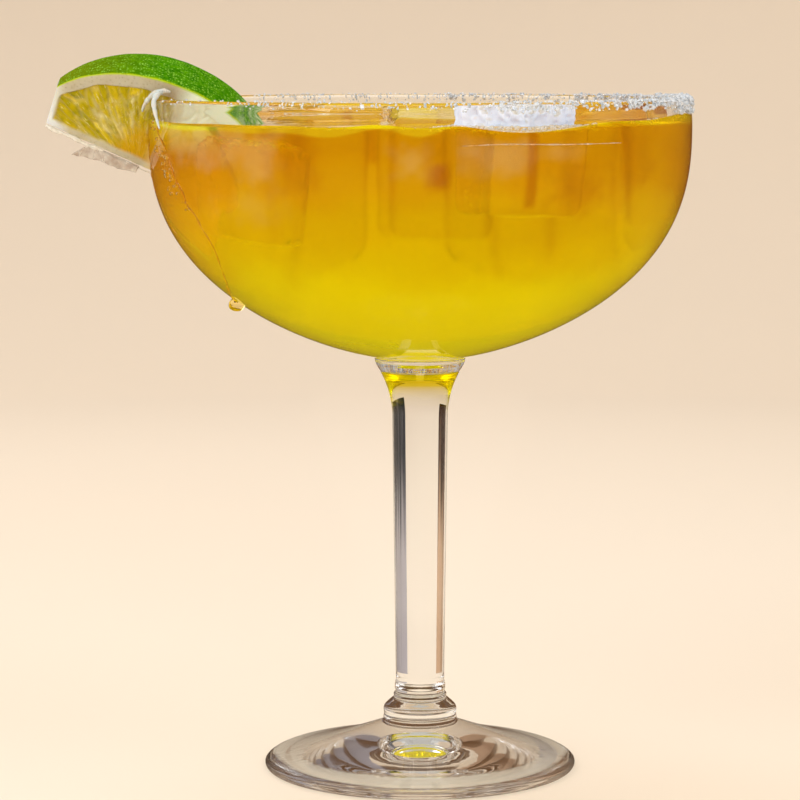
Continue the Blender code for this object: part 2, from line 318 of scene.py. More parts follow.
# Node building
class NodeSheet:
    """Adds and joins the nodes of one material or node group."""

    MAIN = "Principled BSDF"

    def __init__(self, tree: NodeTree) -> None:
        """Starts on the node tree that is to be filled."""
        self.tree = tree

    def feed(self, node: Node, key: Union[str, int], value: Socket) -> None:
        """Sets an input, or joins another node's output to it.

        Args:
            node: the node to feed.
            key: the input's name or number.
            value: a plain value or an output socket.
        """
        socket = node.inputs[key]
        if isinstance(value, NodeSocket):
            self.tree.links.new(value, socket)
        else:
            socket.default_value = value

    def dress(self, key: str, value: Socket) -> None:
        """Sets an input of the material's main shader, or joins a socket to it."""
        self.feed(self.tree.nodes[self.MAIN], key, value)

    def add(self, kind: str, inputs: Optional[dict] = None, **settings: object) -> Node:
        """Adds a node.

        Args:
            kind: the node's type name after ShaderNode.
            inputs: values or sockets by input name or number.
            settings: the node's own settings.

        Returns:
            The new node.
        """
        node = self.tree.nodes.new("ShaderNode" + kind)
        for key, value in settings.items():
            setattr(node, key, value)
        for key, value in (inputs or {}).items():
            self.feed(node, key, value)
        return node

    def math(self, operation: str, first: Socket, second: Socket = 0.0) -> NodeSocket:
        """Combines two numbers or sockets with a Math node's operation."""
        return self.add("Math", {0: first, 1: second}, operation=operation).outputs[0]

    def spread(self, value: Socket, low: Socket, high: Socket, to_low: Socket = 0.0,
               to_high: Socket = 1.0) -> NodeSocket:
        """Maps the range from low to high onto another one, held at its ends."""
        ends = {"Value": value, "From Min": low, "From Max": high, "To Min": to_low, "To Max": to_high}
        return self.add("MapRange", ends).outputs["Result"]

    def blend(self, share: Socket, first: Socket, second: Socket) -> NodeSocket:
        """Mixes two colours, with the second showing by its share."""
        return self.add("Mix", {0: share, 6: first, 7: second}, data_type="RGBA").outputs[2]

    def ramp(self, share: Socket, stops: Sequence[Tuple[float, Colour]]) -> NodeSocket:
        """Runs a number through a row of colours that ease into each other.

        Args:
            share: the number or socket.
            stops: place and colour of each stop.

        Returns:
            The socket with the colour.
        """
        node = self.add("ValToRGB", {"Fac": share})
        row = node.color_ramp
        row.interpolation = "EASE"
        while len(row.elements) < len(stops):
            row.elements.new(1.0)
        for element, (place, colour) in zip(row.elements, sorted(stops)):
            element.position = place
            element.color = colour
        return node.outputs["Color"]

    def mask(self, name: str) -> NodeSocket:
        """The number that a piece keeps at each point under a name."""
        return self.add("Attribute", attribute_name=name).outputs["Fac"]

    def place(self) -> NodeSocket:
        """The surface's own coordinates in metres."""
        return self.add("TexCoord").outputs["Object"]

    def parts(self, vector: Socket) -> NodeOutputs:
        """The X, Y and Z of a vector."""
        return self.add("SeparateXYZ", {0: vector}).outputs

    def bump(self, height: Socket, strength: float, distance: float) -> NodeSocket:
        """Turns a height, of which 1 stands for the distance in metres, into a normal."""
        return self.add("Bump", {"Height": height, "Strength": strength,
                                 "Distance": distance}).outputs["Normal"]


class Effects:
    """The node groups that several finishes share, each built once."""

    def __init__(self) -> None:
        """Builds the three groups."""
        self.mottle = self._group("soft_mottle", {"Scale": 100.0, "Low": 0.0, "High": 1.0},
                                  ("Value",), self._fill_mottle)
        self.pores = self._group("pores", {"Scale": 900.0, "Reach": 0.5},
                                 ("Mask", "Height"), self._fill_pores)
        self.smears = self._group("wet_smears", {"Scale": 60.0, "Low": 0.0, "High": 0.05},
                                  ("Roughness", "Height"), self._fill_smears)

    @staticmethod
    def _group(name: str, inputs: dict, outputs: Iterable[str], fill: Callable) -> NodeTree:
        """Makes a group with named numbers going in and out.

        Args:
            name: the group's name.
            inputs: the default of each number that goes in.
            outputs: names of the numbers that come out.
            fill: makes the nodes between them.

        Returns:
            The group's tree.
        """
        tree = bpy.data.node_groups.new(name, "ShaderNodeTree")
        tree.interface.new_socket("Place", in_out="INPUT", socket_type="NodeSocketVector")
        for key, value in inputs.items():
            socket = tree.interface.new_socket(key, in_out="INPUT", socket_type="NodeSocketFloat")
            socket.default_value = value
        for key in outputs:
            tree.interface.new_socket(key, in_out="OUTPUT", socket_type="NodeSocketFloat")
        start = tree.nodes.new("NodeGroupInput")
        end = tree.nodes.new("NodeGroupOutput")
        fill(NodeSheet(tree), start.outputs, end)
        return tree

    @staticmethod
    def _fill_mottle(sheet: NodeSheet, start: NodeOutputs, end: Node) -> None:
        """Soft cloudy noise between Low and High.

        Args:
            sheet: the group's nodes.
            start: its inputs.
            end: its output node.
        """
        noise = sheet.add("TexNoise", {"Vector": start["Place"], "Scale": start["Scale"],
                                       "Detail": 3.0, "Roughness": 0.55})
        tone = sheet.spread(noise.outputs["Fac"], 0.32, 0.68, start["Low"], start["High"])
        sheet.feed(end, "Value", tone)

    @staticmethod
    def _fill_pores(sheet: NodeSheet, start: NodeOutputs, end: Node) -> None:
        """Round spots of uneven size, as a mask and as the height of small pits.

        Args:
            sheet: the group's nodes.
            start: its inputs.
            end: its output node.
        """
        cells = sheet.add("TexVoronoi", {"Vector": start["Place"], "Scale": start["Scale"],
                                         "Randomness": 0.9})
        reach = sheet.math("MULTIPLY", start["Reach"], 0.9)
        ends = {"Value": cells.outputs["Distance"], "From Min": reach, "From Max": 0.08}
        spot = sheet.add("MapRange", ends, interpolation_type="SMOOTHSTEP").outputs["Result"]
        tone = sheet.add("SeparateColor", {0: cells.outputs["Color"]}).outputs[0]
        sheet.feed(end, "Mask", sheet.math("MULTIPLY", spot, tone))
        sheet.feed(end, "Height", sheet.math("SUBTRACT", 1.0, spot))

    @staticmethod
    def _fill_smears(sheet: NodeSheet, start: NodeOutputs, end: Node) -> None:
        """Faint smears and water marks, as roughness and as a slight unevenness.

        Args:
            sheet: the group's nodes.
            start: its inputs.
            end: its output node.
        """
        long = sheet.add("Mapping", {"Vector": start["Place"], "Scale": (1.0, 1.0, 0.35)})
        noise = sheet.add("TexNoise", {"Vector": long.outputs[0], "Scale": start["Scale"],
                                       "Detail": 4.0, "Roughness": 0.6, "Distortion": 0.6})
        rough = sheet.spread(noise.outputs["Fac"], 0.5, 0.72, start["Low"], start["High"])
        sheet.feed(end, "Roughness", rough)
        sheet.feed(end, "Height", noise.outputs["Fac"])

    def cloud(self, sheet: NodeSheet, scale: float, low: float = 0.0,
              high: float = 1.0) -> NodeSocket:
        """Soft cloudy noise between low and high, with about scale clouds in a metre."""
        return self.use(sheet, self.mottle, Scale=scale, Low=low, High=high).outputs["Value"]

    def use(self, sheet: NodeSheet, group: NodeTree, **values: Socket) -> Node:
        """Places a group in a material.

        Args:
            sheet: the material's nodes.
            group: the group to place.
            values: its inputs by name.

        Returns:
            The group's node.
        """
        node = sheet.add("Group", node_tree=group)
        sheet.feed(node, "Place", sheet.place())
        for key, value in values.items():
            sheet.feed(node, key, value)
        return node


def new_finish(name: str, **values: Socket) -> Tuple[Material, NodeSheet]:
    """Starts a material with its main shader.

    Args:
        name: the material's name.
        values: the shader's plain values, with _ for a space in their names.

    Returns:
        The material and its sheet of nodes.
    """
    material = bpy.data.materials.new(name)
    material.use_nodes = True
    sheet = NodeSheet(material.node_tree)
    for key, value in values.items():
        sheet.dress(key.replace("_", " ").title().replace("Ior", "IOR"), value)
    return material, sheet


def let_light_in(sheet: NodeSheet, tint: Colour, edge: Colour) -> None:
    """Lets lamps and scattered light straight through a clear shader, so that they
    reach what is behind it without grain.

    Args:
        sheet: the material's nodes.
        tint: the colour that light takes on face on.
        edge: the colour that light takes on at a glancing angle.
    """
    path = sheet.add("LightPath").outputs
    share = sheet.math("MAXIMUM", path["Is Shadow Ray"], path["Is Diffuse Ray"])
    facing = sheet.add("LayerWeight", {"Blend": 0.35}).outputs["Facing"]
    clear = sheet.add("BsdfTransparent", {"Color": sheet.blend(facing, tint, edge)})
    main = sheet.tree.nodes[sheet.MAIN]
    mix = sheet.add("MixShader", {0: share, 1: main.outputs[0], 2: clear.outputs[0]})
    sheet.feed(sheet.tree.nodes["Material Output"], "Surface", mix.outputs[0])


# Finishes
@dataclass(frozen=True)
class ClearGlassFinish:
    """Clear pressed glass with faint smears.

    The drink's light seen through the flare under the bowl is painted as a yellow glow: it
    starts at the first height of flare, is full at the second and ends at the third, in metres.
    """

    ior: float = 1.5
    base: Colour = (0.985, 0.995, 0.99, 1.0)
    smear: float = 0.05
    flare: Tuple[float, float, float] = (0.0812, 0.0872, 0.0890)
    painted_flare_glow: Colour = srgb(252, 232, 24)

    def build(self, effects: Effects) -> Material:
        """Builds the material.

        Args:
            effects: shared node groups.

        Returns:
            The new material.
        """
        material, sheet = new_finish("clear_glass", transmission_weight=1.0, ior=self.ior)
        smears = effects.use(sheet, effects.smears, Scale=45.0, High=self.smear)
        sheet.dress("Roughness", smears.outputs["Roughness"])
        sheet.dress("Normal", sheet.bump(smears.outputs["Height"], 0.12, 0.0004))
        low, middle, top = self.flare
        height = sheet.parts(sheet.place())["Z"]
        fade = sheet.math("POWER", sheet.spread(height, low, middle), 3.0)
        share = sheet.math("MULTIPLY", fade, sheet.spread(height, top, top - 0.0003))
        # Painted glow: the drink's yellow light in the flare, painted into the base colour.
        sheet.dress("Base Color", sheet.blend(share, self.base, self.painted_flare_glow))
        let_light_in(sheet, (0.97, 0.98, 0.975, 1.0), (0.55, 0.58, 0.58, 1.0))
        return material


@dataclass(frozen=True)
class DrinkFinish:
    """Slightly cloudy liquid whose colour holds painted light: amber at its top and a painted yellow glow
    below, with a painted emission glow inside.
    """

    ior: float = 1.34
    clearness: float = 0.82
    haze: float = 0.10
    painted_glow: float = 0.19

    def build(self, effects: Effects) -> Material:
        """Builds the material.

        Args:
            effects: shared node groups.

        Returns:
            The new material.
        """
        material, sheet = new_finish("drink", transmission_weight=self.clearness,
                                     ior=self.ior, specular_tint=srgb(236, 190, 60))
        # This mask holds painted light where ice lies behind the wall.
        near = sheet.mask("near_ice")
        height = sheet.parts(sheet.place())["Z"]
        height = sheet.math("ADD", height, effects.cloud(sheet, 28.0, -0.0035, 0.0035))
        share = sheet.spread(height, 0.094, 0.146)
        # Base colour by height is painted light: amber at the top, bright yellow lower down where light
        # shines through.
        painted_light_tone = sheet.ramp(share, (
            (0.00, srgb(255, 250, 1)), (0.30, srgb(255, 247, 1)), (0.46, srgb(254, 237, 1)),
            (0.60, srgb(246, 214, 1)), (0.72, srgb(238, 188, 1)), (0.86, srgb(232, 173, 1)),
            (1.00, srgb(234, 178, 1))))
        haze = sheet.spread(share, 0.0, 0.45, 0.30, self.haze)
        sheet.dress("Roughness", sheet.spread(sheet.mask("wall"), 0.0, 1.0, 0.06, haze))
        # Painted glow: emission bright yellow low in the drink, fading to dark amber at its top.
        inner = sheet.ramp(share, ((0.0, srgb(250, 255, 0)), (0.3, srgb(222, 234, 0)),
                                   (0.5, srgb(152, 142, 0)), (0.75, srgb(63, 43, 0)),
                                   (1.0, srgb(36, 23, 0))))
        sheet.dress("Emission Color", sheet.blend(near, inner, srgb(96, 114, 134)))
        sheet.dress("Emission Strength", self.painted_glow)
        # Painted light where ice lies behind the wall, then painted shade (the deep mask) where it shows
        # darker.
        pale = sheet.blend(near, painted_light_tone, srgb(244, 206, 104))
        pale = sheet.blend(sheet.mask("deep"), pale, srgb(190, 104, 1))
        # Painted highlight: bright yellow along the brim, where the drink meets the glass.
        sheet.dress("Base Color", sheet.blend(sheet.mask("brim"), pale, srgb(255, 236, 36)))
        let_light_in(sheet, srgb(244, 214, 120), srgb(226, 176, 60))
        return material


@dataclass(frozen=True)
class GrainFinish:
    """Clear small things in two soft tones: salt, froth and spilled drink.

    Light that passes straight through takes on the first colour of light face on and
    the second one at a glancing angle.
    """

    name: str
    clearness: float
    ior: float
    roughness: float
    scale: float
    tones: Tuple[Colour, Colour]
    light: Tuple[Colour, Colour]
    ripple: float = 0.0

    def build(self, effects: Effects) -> Material:
        """Builds the material.

        Args:
            effects: shared node groups.

        Returns:
            The new material.
        """
        material, sheet = new_finish(self.name, transmission_weight=self.clearness,
                                     ior=self.ior, roughness=self.roughness)
        sheet.dress("Base Color", sheet.blend(effects.cloud(sheet, self.scale), *self.tones))
        if self.ripple:
            smears = effects.use(sheet, effects.smears, Scale=400.0)
            sheet.dress("Normal", sheet.bump(smears.outputs["Height"], self.ripple, 0.0003))
        let_light_in(sheet, *self.light)
        return material


SALT = GrainFinish("salt", 0.3, 1.5, 0.12, 900.0, (srgb(254, 254, 254), srgb(206, 220, 234)),
                   ((0.75, 0.76, 0.78, 1.0), (0.55, 0.56, 0.58, 1.0)))
FROTH = GrainFinish("froth", 0.6, 1.25, 0.06, 600.0, (srgb(255, 240, 205), srgb(255, 250, 236)),
                    ((0.9, 0.86, 0.7, 1.0), (0.6, 0.55, 0.4, 1.0)))
SPILL = GrainFinish("spilled_drink", 1.0, 1.34, 0.02, 300.0,
                    (srgb(246, 214, 110), srgb(255, 236, 170)),
                    (srgb(254, 244, 205), srgb(240, 214, 130)), 0.3)


@dataclass(frozen=True)
class IceFinish:
    """Wet ice with edges in a painted tone; where it has a painted glow, its level faces get darker
    painted shade.
    """

    name: str
    ior: float
    base: Colour
    roughness: float
    edge: Colour
    clearness: float = 1.0
    painted_glow: float = 0.0
    edge_share: float = 0.7

    def build(self, effects: Effects) -> Material:
        """Builds the material.

        Args:
            effects: shared node groups.

        Returns:
            The new material.
        """
        material, sheet = new_finish(self.name, transmission_weight=self.clearness, ior=self.ior)
        tone = sheet.blend(effects.cloud(sheet, 240.0, 0.0, 0.35), self.base, srgb(246, 244, 240))
        # Painted edge tone: darker painted shade along the upright edges, where light bends; paler on
        # frosted ice.
        edge = sheet.math("MULTIPLY", sheet.mask("edge"), self.edge_share)
        tone = sheet.blend(edge, tone, self.edge)
        # Painted glow on the upright faces and darker painted shade on level ones, by the face's slope.
        if self.painted_glow:
            normal = sheet.parts(sheet.add("NewGeometry").outputs["Normal"])
            level = sheet.spread(normal["Z"], 0.35, 0.9)
            tone = sheet.blend(level, tone, srgb(150, 166, 184))
            sheet.dress("Emission Color", sheet.blend(level, srgb(140, 200, 255), srgb(30, 44, 60)))
            sheet.dress("Emission Strength", self.painted_glow)
        sheet.dress("Base Color", sheet.blend(sheet.mask("cloud"), tone, srgb(255, 236, 214)))
        smears = effects.use(sheet, effects.smears, Scale=160.0, Low=self.roughness,
                             High=self.roughness + 0.18)
        sheet.dress("Roughness", smears.outputs["Roughness"])
        sheet.dress("Normal", sheet.bump(smears.outputs["Height"], 0.35, 0.0006))
        let_light_in(sheet, (0.93, 0.93, 0.92, 1.0), (0.7, 0.7, 0.7, 1.0))
        return material


@dataclass(frozen=True)
class RindFinish:
    """Glossy lime skin with pale oil glands in small pits, which also stand as its painted glints.

    The drink colours it from the first height of soak down, fully at the second.
    """

    soak: Tuple[float, float] = (0.1425, 0.1400)

    def build(self, effects: Effects) -> Material:
        """Builds the material.

        Args:
            effects: shared node groups.

        Returns:
            The new material.
        """
        material, sheet = new_finish("lime_rind", specular_ior_level=0.0)
        green = sheet.blend(effects.cloud(sheet, 75.0), srgb(40, 104, 1), srgb(58, 128, 4))
        green = sheet.blend(effects.cloud(sheet, 620.0, -0.2, 0.9), green, srgb(88, 152, 8))
        parts = sheet.parts(sheet.place())
        green = sheet.blend(sheet.spread(parts["X"], -0.070, -0.044), srgb(112, 122, 8), green)
        # Pale oil glands, which are also painted glints of the skin's gloss.
        glands_and_glints = effects.use(sheet, effects.pores, Scale=1750.0, Reach=0.66)
        green = sheet.blend(glands_and_glints.outputs["Mask"], green, srgb(150, 204, 70))
        # Painted pale veil, in blotches, where the skin lies behind the glass wall.
        painted_veil_blotches = sheet.math("MULTIPLY", sheet.mask("painted_veil"), effects.cloud(sheet, 420.0, -0.3, 1.3))
        green = sheet.blend(painted_veil_blotches, green, srgb(206, 220, 176))
        edge = sheet.blend(sheet.mask("rim"), green, srgb(186, 206, 20))
        soaked = sheet.math("MULTIPLY", sheet.spread(parts["Z"], *self.soak),
                            sheet.spread(parts["X"], -0.050, -0.046))
        sheet.dress("Base Color", sheet.blend(soaked, edge, srgb(196, 150, 84)))
        uneven = effects.use(sheet, effects.smears, Scale=300.0, Low=0.38, High=0.6)
        sheet.dress("Roughness", uneven.outputs["Roughness"])
        sheet.dress("Normal", sheet.bump(glands_and_glints.outputs["Height"], 0.55, 0.0003))
        return material


@dataclass(frozen=True)
class FleshFinish:
    """Wet lime flesh: juice sacs, pale skins between them with painted wet sheen, painted glints, and
    spongy pith.

    The drink colours it from the first height of soak down, fully at the second.
    """

    soak: Tuple[float, float] = (0.1425, 0.1370)

    def build(self, effects: Effects) -> Material:
        """Builds the material.

        Args:
            effects: shared node groups.

        Returns:
            The new material.
        """
        material, sheet = new_finish("lime_flesh", subsurface_weight=0.3, subsurface_scale=0.004,
                                     coat_weight=0.35, coat_roughness=0.12, ior=1.38)
        sheet.dress("Subsurface Radius", (1.0, 0.8, 0.3))
        tone = sheet.mask("tone")
        painted_veil = sheet.mask("painted_veil")
        sac = sheet.ramp(tone, ((0.0, srgb(156, 148, 1)), (0.35, srgb(184, 166, 2)),
                                (0.7, srgb(200, 178, 8)), (1.0, srgb(222, 200, 40))))
        ripe = sheet.blend(sheet.mask("juicy"), sac, srgb(208, 164, 2))
        fan = sheet.add("CombineXYZ", {"X": sheet.math("MULTIPLY", sheet.mask("fan"), 120.0),
                                       "Y": sheet.math("MULTIPLY", sheet.mask("far"), 11.0)})
        fibres = sheet.add("TexNoise", {"Vector": fan.outputs[0], "Scale": 1.0, "Detail": 3.0,
                                        "Roughness": 0.65}).outputs["Fac"]
        ripe = sheet.blend(sheet.spread(fibres, 0.46, 0.34, 0.0, 0.5), ripe, srgb(136, 130, 2))
        # Painted glints: bright wet highlights where the fibre noise is high, fewer where juicy.
        painted_glint = sheet.spread(fibres, 0.60, 0.66, 0.0, 0.7)
        painted_glint = sheet.math("MULTIPLY", painted_glint, sheet.spread(sheet.mask("juicy"), 0.0, 1.0, 1.0, 0.35))
        ripe = sheet.blend(painted_glint, ripe, srgb(232, 226, 150))
        skin = sheet.blend(sheet.mask("skin"), ripe, srgb(222, 214, 168))
        # Painted pale veil where the flesh lies behind the glass wall.
        skin = sheet.blend(painted_veil, skin, srgb(238, 246, 226))
        spots = effects.use(sheet, effects.pores, Scale=1500.0, Reach=0.6)
        pith = sheet.blend(spots.outputs["Mask"], srgb(196, 192, 170), srgb(170, 164, 132))
        pith = sheet.blend(effects.cloud(sheet, 260.0, 0.0, 0.5), pith, srgb(184, 172, 140))
        parts = sheet.parts(sheet.place())
        pith = sheet.blend(sheet.spread(parts["X"], -0.0655, -0.069), pith, srgb(222, 228, 230))
        # The pith gets the same painted pale veil.
        pith = sheet.blend(painted_veil, pith, srgb(232, 244, 226))
        pith = sheet.blend(sheet.mask("rim"), pith, srgb(176, 196, 40))
        sunk = sheet.spread(parts["Z"], *self.soak)
        soaked = sheet.math("MULTIPLY", sunk, sheet.spread(painted_veil, 0.1, 0.6))
        tone = sheet.blend(sheet.mask("pulp"), pith, skin)
        juice = sheet.blend(sheet.spread(parts["Z"], 0.1390, 0.1320), srgb(212, 164, 98),
                            srgb(236, 198, 116))
        sheet.dress("Base Color", sheet.blend(soaked, tone, juice))
        # Painted glow inside the veil, above the drink.
        painted_veil_glow = sheet.math("MULTIPLY", painted_veil, sheet.spread(parts["Z"], 0.1375, 0.1435))
        sheet.dress("Emission Color", sheet.blend(painted_veil_glow, srgb(0, 0, 0), srgb(160, 216, 206)))
        sheet.dress("Emission Strength", 0.40)
        wet = effects.use(sheet, effects.smears, Scale=420.0, Low=0.14, High=0.42)
        dry = sheet.math("MULTIPLY", sheet.math("SUBTRACT", 1.0, sheet.mask("pulp")), 0.22)
        sheet.dress("Roughness", sheet.math("ADD", wet.outputs["Roughness"], dry))
        uneven = sheet.math("ADD", spots.outputs["Height"], sheet.math("MULTIPLY", fibres, 2.5))
        sheet.dress("Normal", sheet.bump(uneven, 0.16, 0.0002))
        return material


@dataclass(frozen=True)
class WetSkinFinish:
    """Thin wet fibre, skin or dried froth that light shines through."""

    name: str
    base: Colour
    clearness: float = 0.35

    def build(self, effects: Effects) -> Material:
        """Builds the material.

        Args:
            effects: shared node groups.

        Returns:
            The new material.
        """
        material, sheet = new_finish(self.name, transmission_weight=self.clearness, ior=1.2,
                                     coat_weight=0.5, coat_roughness=0.08)
        threads = effects.cloud(sheet, 700.0)
        tone = sheet.blend(threads, self.base, srgb(250, 244, 232))
        sheet.dress("Base Color", tone)
        wet = effects.use(sheet, effects.smears, Scale=500.0, Low=0.2, High=0.45)
        sheet.dress("Roughness", wet.outputs["Roughness"])
        sheet.dress("Normal", sheet.bump(threads, 0.4, 0.0003))
        return material


@dataclass(frozen=True)
class PaperFinish:
    """Matt pale sweep of the studio, which reflections show darker close to the glass."""

    base: Colour

    def build(self, effects: Effects) -> Material:
        """Builds the material.

        Args:
            effects: shared node groups.

        Returns:
            The new material.
        """
        material, sheet = new_finish("pale_sweep", roughness=0.85, specular_ior_level=0.2)
        darker = tuple(0.93 * part for part in self.base[:3]) + (1.0,)
        tone = sheet.blend(effects.cloud(sheet, 3.0, 0.0, 0.12), self.base, darker)
        away = sheet.add("VectorMath", {0: sheet.place(), 1: (AXIS_X * MM, 0.0, 0.0)},
                         operation="DISTANCE").outputs["Value"]
        under = sheet.spread(away, 0.260, 0.200)
        mirrored = sheet.spread(sheet.add("LightPath").outputs["Glossy Depth"], 0.0, 1.0)
        share = sheet.math("MULTIPLY", under, mirrored)
        sheet.dress("Base Color", sheet.blend(share, tone, srgb(104, 72, 46)))
        return material


# The glass
@dataclass(frozen=True)
class CoupeShape:
    """The glass's turned form, with the fixed frame's own sizes."""

    rim_height: float = 149.0
    widest_height: float = 143.0
    bowl_radius: float = 59.6
    bowl_depth: float = 52.2
    wall: float = 1.7
    bottom_wall: float = 3.6
    curl_radius: float = 45.0
    rim_round: float = 0.8
    across_power: float = 1.25
    down_power: float = 0.8
    joint_radius: float = 10.1
    flare_top: float = 90.4
    flare_bottom: float = 78.9
    flare_spread: float = 3.55
    stem_top_radius: float = 6.15
    stem_bottom_radius: float = 5.38
    stem_bottom: float = 19.3
    knob_radius: float = 8.2
    foot_edge_radius: float = 32.5
    foot_edge_top: float = 2.4
    foot_rise: float = 7.6
    dome_radius: float = 30.5
    dome_height: float = 3.2

    def bowl_run(self, inset: float, lift: float, last: float, count: int) -> Array:
        """The bowl's curve from its widest height down.

        Args:
            inset: how far inside the outer radius it runs.
            lift: how far above the outer bottom it ends.
            last: the curve's last angle in radians, a quarter turn at the axis.
            count: points on it.

        Returns:
            Rows of radius and height.
        """
        angle = np.linspace(0.0, last, count)
        across = np.clip(np.cos(angle), 0.0, 1.0) ** self.across_power
        down = np.sin(angle) ** self.down_power
        return rows_of((self.bowl_radius - inset) * across,
                       self.widest_height - (self.bowl_depth - lift) * down)

    def radius_at(self, height: Array, inset: float = 0.0, lift: float = 0.0) -> Array:
        """The bowl's radius at a height.

        Args:
            height: heights in mm.
            inset: how far inside the outer radius at the widest height.
            lift: how far above the outer bottom.

        Returns:
            Radii in mm.
        """
        height = np.asarray(height, float)
        radius = self.bowl_radius - inset
        rise = np.clip((height - self.widest_height) / self.curl_radius, 0.0, 1.0)
        drop = np.clip((self.widest_height - height) / (self.bowl_depth - lift), 0.0, 1.0)
        sine = drop ** (1.0 / self.down_power)
        below = radius * np.clip(1.0 - sine * sine, 0.0, 1.0) ** (self.across_power / 2)
        return np.where(height > self.widest_height, radius * np.sqrt(1.0 - rise * rise), below)

    def inside(self, height: Array) -> Array:
        """The inner wall's radius at a height."""
        return self.radius_at(height, self.wall, self.bottom_wall)

    def rim_centre(self) -> float:
        """Radius at which the rim's rounded edge is centred."""
        return float(self.radius_at(self.rim_height)) - self.rim_round

    def section(self) -> Array:
        """The whole closed section, inside first and then down the outside.

        Returns:
            Rows of radius and height, the first and last on the axis.
        """
        quarter = math.pi / 2
        runs = [self.bowl_run(self.wall, self.bottom_wall, quarter, 84)[::-1]]
        heights = np.linspace(143.8, 147.6, 6)
        runs.append(rows_of(self.inside(heights), heights))
        turn = np.linspace(quarter * 2.0, 0.0, 15)
        centre = self.rim_centre()
        low = self.rim_height - self.rim_round
        runs.append(rows_of(centre + self.rim_round * np.cos(turn),
                            low + self.rim_round * np.sin(turn)))
        runs.append(rows_of(self.radius_at(heights[::-1]), heights[::-1]))
        last = math.acos((self.joint_radius / self.bowl_radius) ** (1.0 / self.across_power))
        runs.append(self.bowl_run(0.0, 0.0, last, 84))
        collar = ((10.07, 91.75), (9.97, 91.5), (9.98, 91.25), (9.93, 91.0), (9.8, 90.75))
        runs.append(np.array(collar))
        heights = np.linspace(self.flare_top, self.flare_bottom, 32)
        rise = (heights - self.flare_bottom) / (self.flare_top - self.flare_bottom)
        line = 0.10 * np.exp(-((heights - 88.95) / 0.22) ** 2)
        runs.append(rows_of(self.stem_top_radius + self.flare_spread * rise ** 2 - line, heights))
        heights = np.linspace(self.flare_bottom, self.stem_bottom, 46)[1:]
        share = (heights - self.stem_bottom) / (self.flare_bottom - self.stem_bottom)
        widening = self.stem_top_radius - self.stem_bottom_radius
        runs.append(rows_of(self.stem_bottom_radius + share * widening, heights))
        knob = ((5.5, 19.0), (5.62, 18.5), (5.66, 17.6), (5.5, 17.0), (5.6, 16.6), (5.92, 16.2),
                (5.9, 15.5), (6.9, 14.6), (7.9, 13.6), (8.17, 12.8), (8.08, 11.8), (8.2, 11.0),
                (8.2, 10.3))
        runs.append(curve_through(knob, 52))
        radii = np.linspace(self.knob_radius, self.foot_edge_radius, 46)
        share = (radii - self.knob_radius) / (self.foot_edge_radius - self.knob_radius)
        runs.append(rows_of(radii, self.foot_edge_top + self.foot_rise * (1.0 - share) ** 1.25))
        edge = ((33.3, 2.22), (34.0, 1.9), (34.6, 1.4), (34.75, 0.9), (34.4, 0.25), (33.4, 0.0))
        runs.append(curve_through(edge, 22))
        runs.append(np.array([(31.8, 0.0)]))
        radii = np.linspace(self.dome_radius, 0.0, 34)
        runs.append(rows_of(radii, self.dome_height * (1.0 - (radii / self.dome_radius) ** 2)))
        return np.concatenate(runs)


@dataclass
class CoupeGlass:
    """The clear glass without its salt."""

    shape: CoupeShape
    steps: int = 176

    def build(self, finish: Material) -> None:
        """Turns the glass.

        Args:
            finish: clear glass.
        """
        points, faces = turned(self.shape.section(), self.steps)
        piece = make_piece("coupe_glass", points, faces, finish, tidy=0.001)
        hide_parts("glass")


@dataclass(frozen=True)
class SaltZone:
    """How the salt lies over a range of bearings, on both sides of the crusted one."""

    start: float
    stop: float
    grains: int
    size: float
    layers: float
    drop: float


